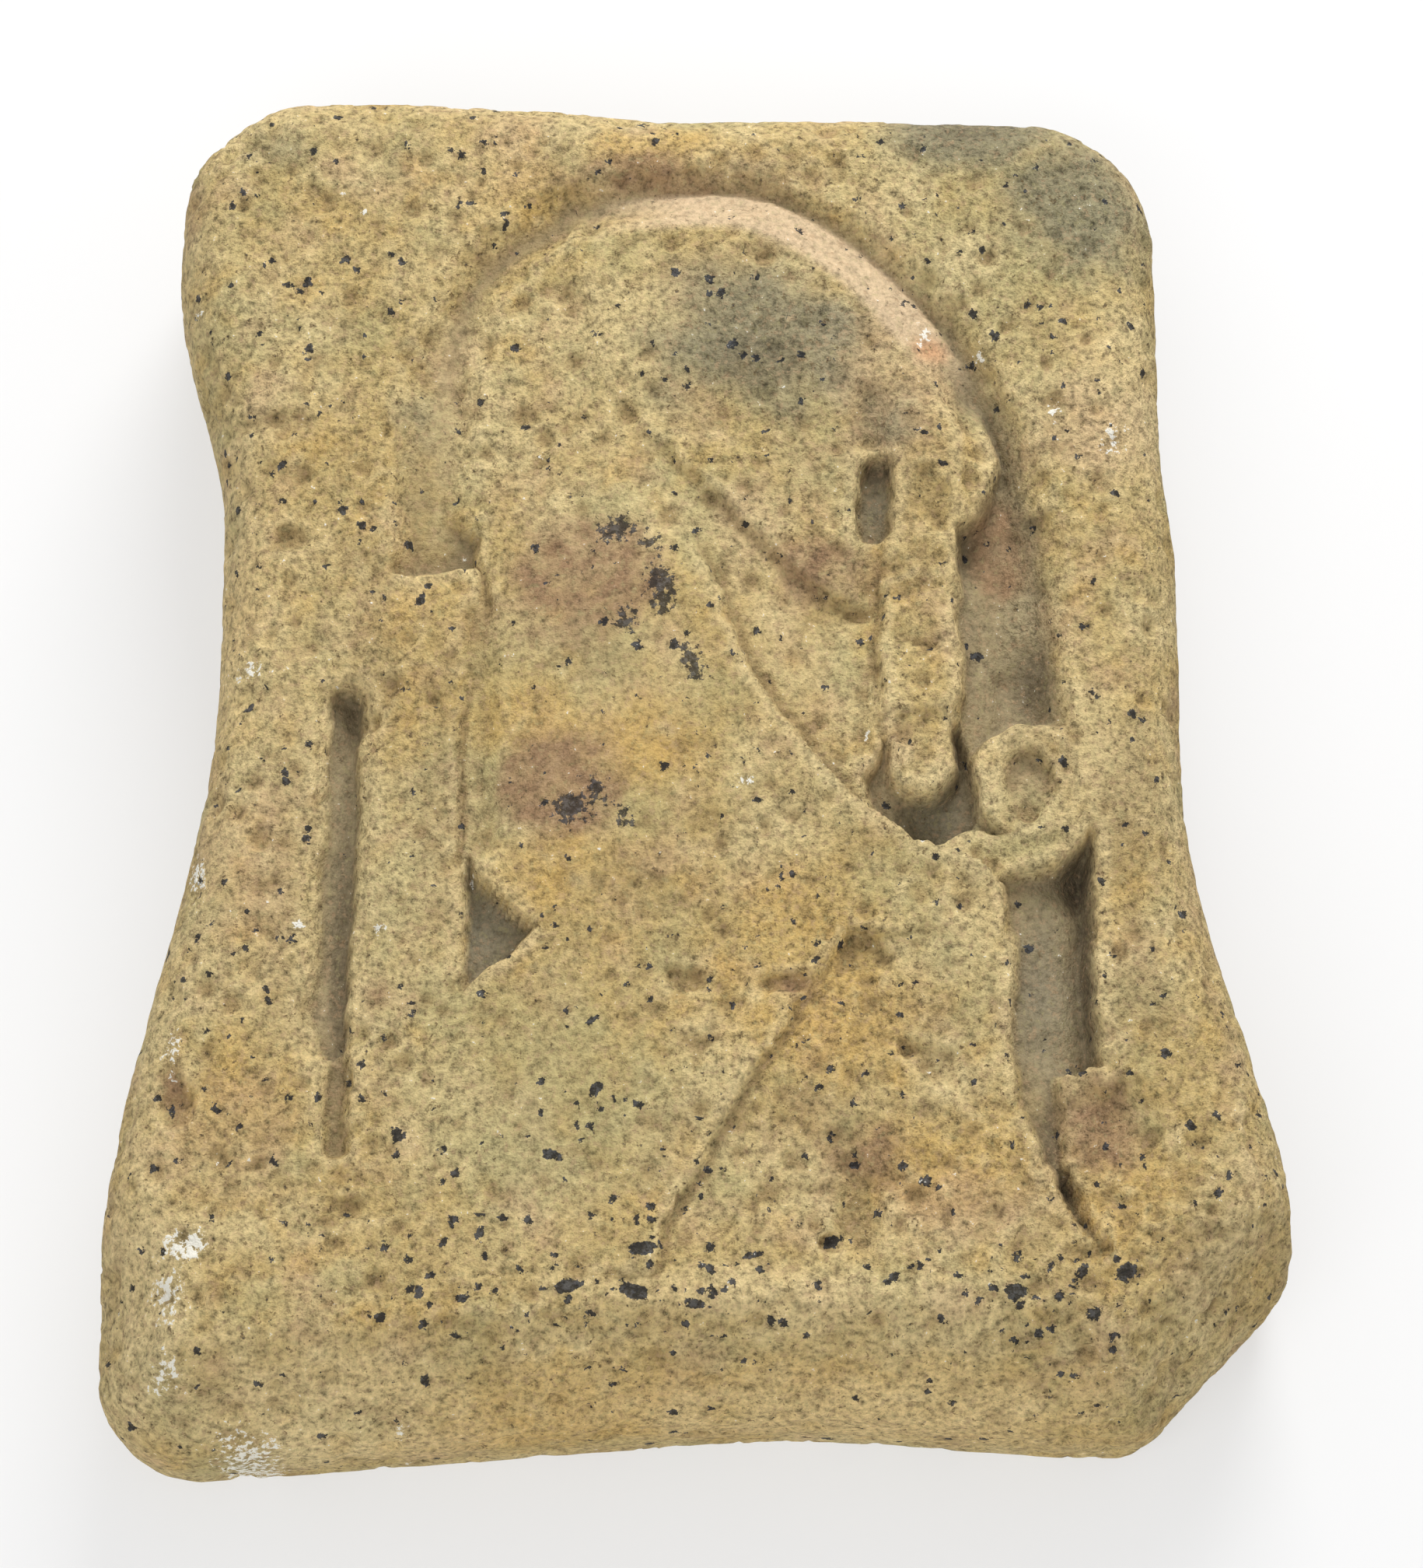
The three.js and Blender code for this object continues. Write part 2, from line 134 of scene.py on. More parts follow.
# Round chips and pits: depth, x, z, half width, half height, softness
CHIPS = [
    (1.6, 19.5, -50, 4, 1.8, 2), (1.6, 0.5, -48.5, 3.6, 2.2, 2.4), (1.5, 33.5, 24, 3.4, 1.3, 1.6),
    (1.2, 44.5, 17.5, 3.2, 1, 1.4), (1.6, 27, -98, 2.4, 1.8, 1.6), (1.8, -93, -72, 2.6, 4.5, 3),
    (1.5, -75, 39, 3, 2.6, 2.6), (1.3, -78, 63, 7, 2.4, 4)]
# Chips with corners: depth, corners, softness
ANGULAR_CHIPS = [
    (1.3, [(-1, -60), (7, -60), (2, -67)], 2.6), (1.8, [(39, -60), (50, -63), (50, -69.5), (44, -67)], 3)]


def mix(a, b, t):
    return a + (b - a) * t


def smooth(start, end, value):
    t = np.clip((value - start) / (end - start), 0, 1)
    return t * t * (3 - 2 * t)


def inside(distance, softness):
    """1 inside a shape and 0 outside it, changing over the softness at its edge."""
    return 1 - smooth(-softness / 2, softness / 2, distance)


def along(pairs, z):
    """The value at z on a line through (z, value) pairs that run downwards."""
    heights, values = zip(*reversed(pairs))
    return np.interp(z, heights, values)


def to_line(x, z, start, end):
    dx, dz = end[0] - start[0], end[1] - start[1]
    t = np.clip(((x - start[0]) * dx + (z - start[1]) * dz) / (dx * dx + dz * dz), 0, 1)
    return np.hypot(x - start[0] - t * dx, z - start[1] - t * dz)


def to_path(x, z, points):
    return np.minimum.reduce([to_line(x, z, a, b) for a, b in zip(points, points[1:])])


def to_ellipse(x, z, centre, half_sizes):
    dx, dz = x - centre[0], z - centre[1]
    q = np.maximum(np.hypot(dx / half_sizes[0], dz / half_sizes[1]), 1e-6)
    return np.where(q < 1e-3, -min(half_sizes), np.hypot(dx, dz) * (1 - 1 / q))


def to_polygon(x, z, corners):
    edge = to_path(x, z, corners + corners[:1])
    within = np.zeros(x.shape, bool)
    for (ax, az), (bx, bz) in zip(corners, corners[1:] + corners[:1]):
        if az != bz:
            within ^= ((az > z) != (bz > z)) & (x < (bx - ax) * (z - az) / (bz - az) + ax)
    return np.where(within, -edge, edge)


def to_arch(x, z, arch, left_side, right_side):
    dx = x - arch["x"]
    dz = np.maximum(z - arch["z"], 0)
    half = np.where(dx < 0, arch["left"], arch["right"])
    power = np.where(dx < 0, arch["left_power"], arch["right_power"])
    q = ((np.abs(dx) / half) ** power + (dz / arch["rise"]) ** power) ** (1 / power)
    over = np.hypot(dx, dz) * (1 - 1 / np.maximum(q, 1e-6))
    return np.where(z < arch["z"], np.where(dx < 0, left_side - x, x - right_side), over)


def swelling(x, z, centre, half_sizes):
    """1 in the middle of a rounded swelling, falling to 0 at its rim."""
    r = ((x - centre[0]) / half_sizes[0]) ** 2 + ((z - centre[1]) / half_sizes[1]) ** 2
    return np.clip(1 - r, 0, 1) ** 1.5


def swellings(x, z, spots):
    """The swelling of each spot, given as (height, x, z, half width, half height)."""
    return [height * swelling(x, z, (px, pz), (hx, hz)) for height, px, pz, hx, hz in spots]


def largest(x, z, spots):
    return np.maximum.reduce(swellings(x, z, spots))


def signed_side(x, z, points):
    """Distance from a path that runs to the right and down, positive above it."""
    away = to_path(x, z, points)
    xs, zs = zip(*sorted(points))
    heights = np.interp(x, xs, zs)
    return np.where(z > heights, away, -away)


def soft_limit(value, limit, softness):
    over = (value - limit) / softness
    return limit + softness * (np.minimum(over, 0) - np.log1p(np.exp(-np.abs(over))))


# ---- Outline of the slab

def left_half(z):
    return 88.7 + 10.2 * smooth(45, 95, z) + 19.1 * smooth(15, -100, z)


def right_half(z):
    return mix(91.6, 93.9, smooth(66, 38, z)) + 19 * smooth(-5, -98, z)


def top_half(x):
    return 134 - 0.04 * x - 1.6 * np.exp(-(((x + 6) / 20) ** 2))


def foot_half(x):
    return 126.3 + 0.078 * (np.hypot(x - 20, 10) - 10)


def slab_point(across, up):
    z = up * np.where(up > 0, 134, 126.3)
    x = across * np.where(across < 0, left_half(z), right_half(z))
    return x, up * np.where(up > 0, top_half(x), foot_half(x))


def round_corners(across, up):
    across, up = across.copy(), up.copy()
    for (side, end), radius in CORNER_RADIUS.items():
        sx = -1 if side == "left" else 1
        sz = 1 if end == "top" else -1
        in_x, in_z = 1 - radius / (DRAWN_WAIST / 2), 1 - radius / (DRAWN_HEIGHT / 2)
        dx, dz = (across * sx - in_x) / (1 - in_x), (up * sz - in_z) / (1 - in_z)
        at_corner = (dx > 0) & (dz > 0)
        length = np.where(at_corner, np.hypot(dx, dz), 1)
        across = np.where(at_corner, sx * (in_x + (1 - in_x) * dx / length), across)
        up = np.where(at_corner, sz * (in_z + (1 - in_z) * dz / length), up)
    return across, up


def to_break(x, z):
    return BROKEN_CORNER["reach"] - BROKEN_CORNER["x"] * x - BROKEN_CORNER["z"] * z


def rim_point(across, up):
    x, z = slab_point(*round_corners(across, up))
    for corner in (WORN_CORNER, BROKEN_CORNER):
        reach = corner["x"] * x + corner["z"] * z
        cut = reach > corner["reach"] / 2
        kept = soft_limit(reach, corner["reach"], corner["softness"]) / np.where(cut, reach, 1)
        x, z = np.where(cut, x * kept, x), np.where(cut, z * kept, z)
    return x, z


def face_point(across, up):
    level = np.maximum(np.maximum(np.abs(across), np.abs(up)), 1e-9)
    rim_x, rim_z = rim_point(across / level, up / level)
    plain_x, plain_z = slab_point(across, up)
    pull = level ** 3
    return mix(plain_x, level * rim_x, pull), mix(plain_z, level * rim_z, pull)


# ---- Carving, as heights above the back

def to_strip(x, z):
    taper = 7.6 - 1.4 * smooth(8, -6, z)
    return to_line(x, z, (45.5, 60), (44, -6.5)) - taper


def to_figure(x, z):
    head = np.where(z > HEAD["z"], to_arch(x, z, HEAD, 0, 0), np.inf)
    left = mix(BODY_LEFT, HEAD["x"] - HEAD["left"], smooth(40, 44, z))
    body = np.maximum(left - x, x - along(BODY_RIGHT, z))
    body = np.where(z > HEAD["z"], np.inf, body)
    return np.minimum.reduce([head, body, to_ellipse(x, z, (42, 55.5), (18.5, 17))])


def to_bowl(x, z):
    bowl = np.hypot(x - 64.6, z + 9.2) - 12.2
    hand = to_path(x, z, HAND) - 5.2
    return np.minimum(bowl, hand)


def niche_depth(x, z):
    """Depth of the arched niche round the head and of the recess that runs down beside the body."""
    figure = to_figure(x, z)
    at_right = smooth(42, 52, x) * smooth(72, 56, z)
    crown = smooth(55, 95, z)
    slope = mix(mix(7, 10, smooth(45, 60, z)), mix(9, 10, crown), smooth(-20, 20, x))
    slope = mix(slope, 3, at_right * smooth(-16, -20, z))
    foot = np.where(x < 0, NICHE_SILL + 0.08 * (x + 40), RECESS_FOOT)
    niche = to_arch(x, z, ARCH, ARCH["x"] - ARCH["left"], along(RECESS_RIGHT, z))
    sill = inside(foot - z + 0.8, 1.6)

    beside_strip = np.interp(x, [52, 59.5, 67, 76], [4.6, 7.6, 5.2, 3.0])
    beside_strip += 4.2 * swelling(x, z, (65.5, 10), (9, 13))
    under_lobe = np.interp(x, [52, 60, 68, 76], [9.5, 8.0, 5.0, 3.2])
    upper = mix(beside_strip, under_lobe, smooth(28, 38, z))
    lower = RECESS_DEPTH * along(RECESS_FALL, z) * np.interp(x, [60, 70, 73.5], [0.5, 0.78, 1.15])
    lower += 2.5 * swelling(x, z, (73, -27), (8, 9)) + 2 * swelling(x, z, (69.5, -87), (3, 3))
    plain = mix(LEFT_NICHE_DEPTH, NICHE_DEPTH, smooth(-45, 25, x)) + 2 * swelling(x, z, (-46, 35), (10, 10))
    depth = mix(plain, mix(upper, lower, smooth(-8, -20, z)), at_right)

    soft_edge = smooth(-9, 0, figure)
    worn = 0.48 * np.clip(1 + figure / WORN_BEVEL, 0, 1) + 0.52 * smooth(-1.4, 1, figure)
    sharp_edge = smooth(-1.6, 0.6, figure)
    edge = mix(soft_edge, worn, smooth(-25, 10, x) * smooth(70, 84, z))
    edge = mix(edge, sharp_edge, np.maximum(at_right, inside(z - 42, 4) * smooth(-44, -42, x)))
    return depth * inside(niche + slope / 2, slope) * sill * edge


def figure_height(x, z):
    """Height of the body and its parts above the border, or below it where it is less than 0."""
    past_arm = x - along(ARM_EDGE, z)
    on_arm = smooth(-16, 0, past_arm) * smooth(2, 0, past_arm)
    lap = smooth(0, 2, past_arm) * smooth(38, 33, x) * smooth(48, 22, z)
    beside_arm = smooth(-34, -26, z) * smooth(46, 28, z)

    above_braid = signed_side(x, z, BRAID_EDGE)
    braid = smooth(-0.8, 1.6, above_braid) * (0.35 + 0.65 * smooth(80, 36, z)) * smooth(35, 31, x)
    braid *= np.exp(-(above_braid / 26) ** 2) * smooth(-24, -18, x)

    strip = to_strip(x, z)
    strip_end = np.maximum(strip, z - 3.6 + 0.12 * np.abs(x - 44))
    beyond_fold = signed_side(x, z, ROBE_FOLD)

    height = sum(swellings(x, z, BODY_SWELLS))
    height += (1.6 * on_arm - 2.2 * lap) * beside_arm + 2.3 * braid
    height += 1.3 * inside(strip, 2.4) - 1.0 * inside(strip_end, 1.2)
    height += 1.7 * smooth(-1.0, 1.0, beyond_fold) * np.exp(-(beyond_fold / 11) ** 2)
    return height


def cut_depth(x, z):
    """Depth of the grooves, pits and chips that are cut into the figure and the border."""
    hand_pit = np.maximum(to_polygon(x, z, HAND_PIT), -to_strip(x, z))
    groove = to_line(x, z, *POST_GROOVE)
    groove_lean = mix(0.7, 1.1, smooth(-68, -62, x)) * mix(1.15, 0.9, smooth(10, -10, z))
    cuts = [
        mix(5, 9, smooth(38, 44, x)) * inside(hand_pit, 1.8),
        2.6 * inside(to_path(x, z, BACK_GAP) - 0.6, 2.2),
        5.5 * inside(to_polygon(x, z, ELBOW_RECESS), 1.6),
        7 * groove_lean * inside(groove - 3.4, 2),
        2.2 * inside(groove - 5, 5),
        1.3 * inside(to_path(x, z, ROBE_FOLD) - 0.6, 2.4),
        2.0 * inside(to_polygon(x, z, LAP_NOTCH), 2.4) * smooth(-52, -42, z),
        2.6 * swelling(x, z, (31.5, -92), (6, 12)),
    ]
    for depth, start, end, half_width, softness in GROOVES:
        cuts.append(depth * inside(to_line(x, z, start, end) - half_width, softness))
    for depth, px, pz, half_width, half_height, softness in CHIPS:
        cuts.append(depth * inside(to_ellipse(x, z, (px, pz), (half_width, half_height)), softness))
    for depth, corners, softness in ANGULAR_CHIPS:
        cuts.append(depth * inside(to_polygon(x, z, corners), softness))
    return np.maximum.reduce(cuts)


def around_bowl(x, z, depth):
    """Fills the recess again where the bowl and the hand stand in it, and hollows the bowl."""
    dish = 2.9 * inside(to_ellipse(x, z, (63.8, -10.3), (5, 7)) + 0.4, 3.4)
    dish *= mix(0.75, 1.15, smooth(-14, -5, z))
    rim = 0.9 * inside(np.abs(to_ellipse(x, z, (64.3, -9.6), (9.4, 10))) - 1, 3.2)
    kept = inside(to_bowl(x, z) + 0.8, 2)
    return mix(depth, np.minimum(depth, 0.8) + dish - rim, kept)


def edge_drop(x, z, to_rim):
    """Depth lost at the worn front edge, at the rolled foot and at the broken corner."""
    near = np.clip(1 - to_rim / FRONT_EDGE_RUN, 0, 1)
    worn = FRONT_EDGE_DROP * (1 - np.sqrt(1 - near * near))
    broken = BROKEN_CORNER["drop"] * (1 - smooth(-4, BROKEN_CORNER["run"], to_break(x, z))) ** 1.3
    rolled = FOOT_DROP * smooth(FOOT_RUN, 2, to_rim) * smooth(-88, -110, z)
    return np.maximum(worn + rolled, broken)


def carved_depth(x, z):
    return around_bowl(x, z, np.maximum(niche_depth(x, z), cut_depth(x, z)))


def ragged(x, z):
    """The same place shifted a little, so that no carved edge runs quite straight."""
    flat = np.column_stack([x, np.zeros(len(x)), z])
    for spacing, reach, seed in ((11, 0.9, 31), (4.2, 0.5, 33)):
        x = x + reach * lattice_noise(flat, spacing, seed)
        z = z + reach * lattice_noise(flat, spacing, seed + 1)
    return x, z


def face_height(x, z, to_rim):
    flat = np.column_stack([x, np.zeros(len(x)), z])
    swell = 0.9 * lattice_noise(flat, 34, 41) + 0.55 * lattice_noise(flat, 15, 42)
    lumps = 1.4 * lattice_noise(flat, 8, 43) + 1.0 * lattice_noise(flat, 4.5, 44)
    swell += lumps * swelling(x, z, (70, -88), (56, 42))
    carved_x, carved_z = ragged(x, z)
    carving = carved_depth(carved_x, carved_z) - figure_height(carved_x, carved_z)
    return THICKNESS - carving + swell - edge_drop(x, z, to_rim)


# ---- Weathering

def lattice_noise(points, spacing, seed):
    """Smooth noise between about -1 and 1, with one feature every spacing."""
    directions = np.random.default_rng(seed).normal(size=(256, 3))
    directions /= np.linalg.norm(directions, axis=1, keepdims=True)
    scaled = points / spacing + 31.7
    cell = np.floor(scaled).astype(np.int64)
    part = scaled - cell
    fade = part ** 3 * (part * (part * 6 - 15) + 10)
    total = np.zeros(len(points))
    for corner in itertools.product((0, 1), repeat=3):
        at = cell + corner
        key = (at[:, 0] * 73856093) ^ (at[:, 1] * 19349663) ^ (at[:, 2] * 83492791)
        key = (key ^ (key >> 13)) & 255
        weight = np.prod(np.where(corner, fade, 1 - fade), axis=1)
        total += weight * ((part - corner) * directions[key]).sum(1)
    return total * 1.6


def layered_noise(points, spacing, seed, layers=3):
    total = np.zeros(len(points))
    for layer in range(layers):
        total += lattice_noise(points, spacing / 2 ** layer, seed + 100 * layer) / 2 ** layer
    return total / 1.4


def rough_depth(points, smoothness, size):
    """How far weather has eaten into the stone at each point, in millimetres."""
    eaten = np.zeros(len(points))
    for seed, (spacing, height) in enumerate(((16, 0.42), (7, 0.36), (3.8, 0.34), (2.2, 0.3))):
        eaten += height * (0.5 + 0.5 * lattice_noise(points, spacing, seed + 1))
    eaten += 1.8 * np.clip(lattice_noise(points, 5.2, 11) - 0.25, 0, 1)
    eaten += 1.1 * np.clip(lattice_noise(points, 2.8, 12) - 0.25, 0, 1)
    return size * eaten * (1 - 0.75 * smoothness)


def pit_depth(points, weights, count, seed):
    """Separate small pits where grains have dropped out, denser where the weights are larger."""
    tree = KDTree(len(points))
    for i, point in enumerate(points):
        tree.insert(point, i)
    tree.balance()
    rng = np.random.default_rng(seed)
    centres = rng.choice(len(points), size=count, p=weights / weights.sum())
    depth = np.zeros(len(points))
    for centre in centres:
        radius = 0.9 + 2.0 * rng.random() ** 2.5
        deep = radius * (0.3 + 0.25 * rng.random())
        for _, i, away in tree.find_range(points[centre], radius):
            depth[i] = max(depth[i], deep * (1 - (away / radius) ** 2))
    return depth


# ---- Mesh of the slab

def clear_selection():
    for ob in bpy.context.selected_objects:
        ob.select_set(False)


def plain_slab():
    """A plain block: a fine face, bands drawn back from its rim, and a coarser back bridged to them."""
    clear_selection()
    bpy.ops.mesh.primitive_grid_add(
        x_subdivisions=FACE_COLUMNS, y_subdivisions=FACE_ROWS, size=2, rotation=(math.pi / 2, 0, 0))
    slab = bpy.context.object
    bpy.ops.object.transform_apply(location=True, rotation=True, scale=True)
    bpy.ops.object.mode_set(mode="EDIT")
    bpy.ops.mesh.select_mode(type="EDGE")
    bpy.ops.mesh.select_all(action="DESELECT")
    bpy.ops.mesh.select_non_manifold()
    for _ in range(ALL_BANDS):
        bpy.ops.mesh.extrude_region_move(TRANSFORM_OT_translate={"value": (0, 1, 0)})
    bpy.ops.mesh.select_all(action="DESELECT")
    bpy.ops.mesh.primitive_grid_add(
        x_subdivisions=BACK_COLUMNS, y_subdivisions=BACK_ROWS, size=2,
        location=(0, ALL_BANDS + 1, 0), rotation=(-math.pi / 2, 0, 0))
    bpy.ops.mesh.select_all(action="DESELECT")
    bpy.ops.mesh.select_non_manifold()
    bpy.ops.mesh.bridge_edge_loops()
    bpy.ops.object.mode_set(mode="OBJECT")
    return slab


def read_points(mesh):
    points = np.empty(len(mesh.vertices) * 3)
    mesh.vertices.foreach_get("co", points)
    return points.reshape(-1, 3)


def write_points(mesh, points):
    mesh.vertices.foreach_set("co", points.ravel())
    mesh.update()


def read_normals(mesh):
    normals = np.empty(len(mesh.vertices) * 3)
    mesh.vertex_normals.foreach_get("vector", normals)
    return normals.reshape(-1, 3)


def square_rim(s):
    """The point at s on the rim of a square from -1 to 1; s runs from 0 at the foot's left round to 8."""
    s = np.mod(s, 8)
    across = np.select([s < 2, s < 4, s < 6], [s - 1, 1, 5 - s], -1)
    up = np.select([s < 2, s < 4, s < 6], [-1, s - 3, 1], 7 - s)
    return across, up


def rim_place(across, up):
    """The inverse of square_rim."""
    on = [up <= -1 + 1e-6, across >= 1 - 1e-6, up >= 1 - 1e-6]
    return np.select(on, [across + 1, up + 3, 5 - across], 7 - up)


def crowded(t):
    return t * (1 + CROWDING * (1 - t * t))


def inward_normal(s):
    step = 0.012
    before, after = rim_point(*square_rim(s - step)), rim_point(*square_rim(s + step))
    dx, dz = after[0] - before[0], after[1] - before[1]
    length = np.hypot(dx, dz)
    return -dz / length, dx / length


def distance_to_rim(x, z):
    rim = np.column_stack(rim_point(*square_rim(np.linspace(0, 8, 6000, endpoint=False))))
    tree = KDTree(len(rim))
    for i, (rx, rz) in enumerate(rim):
        tree.insert((rx, rz, 0), i)
    tree.balance()
    return np.array([tree.find((px, pz, 0))[2] for px, pz in zip(x, z)])


def band_profile():
    """For each band behind the face: its inset, how far it lies under the rim, and its share of the way down.

    A share of 2 marks the two bands of the back edge, which are placed from the back."""
    turns = FACE_TURN + (math.pi / 2 - FACE_TURN) * np.arange(1, ROUND_BANDS + 1) / ROUND_BANDS
    inset = [0.0] + list(FRONT_EDGE_RUN * (1 - np.sin(turns)))
    under = [0.0] + list(FRONT_EDGE_DROP * (math.cos(FACE_TURN) - np.cos(turns)))
    down = [0.0] * (ROUND_BANDS + 1)
    for t in (np.arange(1, SIDE_BANDS + 1) / SIDE_BANDS) ** 1.3:
        inset.append(SIDE_TAPER * t * t)
        under.append(under[ROUND_BANDS])
        down.append(t)
    for share, height in ((0.3, 0.3), (1, 0)):
        inset.append(SIDE_TAPER + BACK_EDGE_RADIUS * share)
        under.append(height)
        down.append(2)
    return np.array(inset), np.array(under), np.array(down)


def carve(slab):
    """Turns the plain block into the carved slab, in drawn millimetres with the face towards -Y."""
    mesh = slab.data
    plain = read_points(mesh)
    band = np.clip(np.rint(plain[:, 1]).astype(int), 0, ALL_BANDS + 1)
    across, up = crowded(plain[:, 0]), crowded(plain[:, 2])
    level = np.maximum(np.abs(across), np.abs(up))
    face, back = band == 0, band > ALL_BANDS
    side = ~face & ~back
    x, z = face_point(across, up)
    outward_level = np.maximum(level, 1e-9)
    inward_x, inward_z = inward_normal(rim_place(across / outward_level, up / outward_level))

    rim_inset = FRONT_EDGE_RUN * (1 - math.sin(FACE_TURN))
    pulled = rim_inset * np.where(back, 0, level) ** 8
    top_x, top_z = x + pulled * inward_x, z + pulled * inward_z
    to_rim = np.full(len(plain), 1000.0)
    near = face & (level > 0.8)
    to_rim[near] = distance_to_rim(top_x[near], top_z[near])
    to_rim[side | (face & (level > 1 - 1e-6))] = rim_inset
    height = np.zeros(len(plain))
    height[~back] = face_height(top_x[~back], top_z[~back], to_rim[~back])

    inset, under, down = (values[band[side]] for values in band_profile())
    shoulder = height[side] - under
    plain_side = mix(shoulder, BACK_EDGE_RADIUS, np.minimum(down, 1))
    height[side] = np.where(down > 1, BACK_EDGE_RADIUS * under, plain_side)
    x = np.where(face, top_x, x)
    z = np.where(face, top_z, z)
    x[side] += inset * inward_x[side]
    z[side] += inset * inward_z[side]
    x[back] *= 0.93
    z[back] *= 0.94
    points = np.column_stack([x, -height, z])
    write_points(mesh, points)
    return points, face


# Where the body is rubbed smooth, and where it is rough all the same: as the swellings above
RUBBED_BODY = [(0.6, -14, 5, 40, 62), (0.5, 16, 20, 24, 40), (0.45, -20, -70, 26, 40)]
ROUGH_HEAD = [(0.5, 20, 45, 18, 22), (0.6, 62, 32, 12, 24)]


def worn_bevel(x, z):
    """The smooth, rosy worn edge over the top right of the head, whose colour is also painted lighter as a
    highlight.
    """
    figure = to_figure(x, z)
    band = smooth(-WORN_BEVEL - 1.2, -WORN_BEVEL + 1, figure) * smooth(1, -0.5, figure)
    return band * smooth(70, 84, z) * smooth(-22, 2, x)


def smooth_stone(x, z, face):
    """1 where the stone is rubbed or cut smooth, 0 where it is coarse."""
    upper_slope = smooth(58, 63, x) * smooth(14, 22, z)
    lower_slope = smooth(68, 72, x) * smooth(-66, -70, z)
    coarse_slope = np.maximum(upper_slope, lower_slope)
    floors = 0.85 * smooth(2.5, 4.5, carved_depth(x, z)) * (1 - coarse_slope)
    body = largest(x, z, RUBBED_BODY)
    rough = largest(x, z, ROUGH_HEAD)
    return np.clip(np.maximum.reduce([floors, body - rough, 0.9 * worn_bevel(x, z)]), 0, 1) * face


def hollow_mask(points, face):
    """How far each point of the face lies in a hollow, from the mean height around it."""
    columns, rows = FACE_COLUMNS + 1, FACE_ROWS + 1
    height = np.zeros(len(points))
    if face.sum() != columns * rows:
        raise RuntimeError("The face isn't a full grid")
    order = np.flatnonzero(face)
    grid = -points[order, 1].reshape(rows, columns)
    wide = grid.copy()
    for _ in range(10):
        padded = np.pad(wide, 1, mode="reflect", reflect_type="odd")
        wide = (padded[:-2, 1:-1] + padded[2:, 1:-1] + padded[1:-1, :-2] + padded[1:-1, 2:]) / 4
    height[order] = (wide - grid).ravel()
    return np.clip(0.5 + height * 0.6, 0, 1)


def write_mask(mesh, name, values):
    layer = mesh.attributes.new(name, "FLOAT", "POINT")
    layer.data.foreach_set("value", values.astype(np.float32))


def read_mask(mesh, name):
    values = np.empty(len(mesh.vertices))
    mesh.attributes[name].data.foreach_get("value", values)
    return values


def fit_to_box(points):
    """In metres, with the highest stone at the front of the solid's box and nothing outside the box."""
    low, high = (np.array(corner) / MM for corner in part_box(PANEL_NODE))
    fitted = points * (1, low[1] / points[:, 1].min(), 1)
    fitted[:, 1] = np.where(points[:, 1] > -0.6, points[:, 1], fitted[:, 1])
    return np.clip(fitted, low, high) * MM


# ---- Colour of the stone, point by point

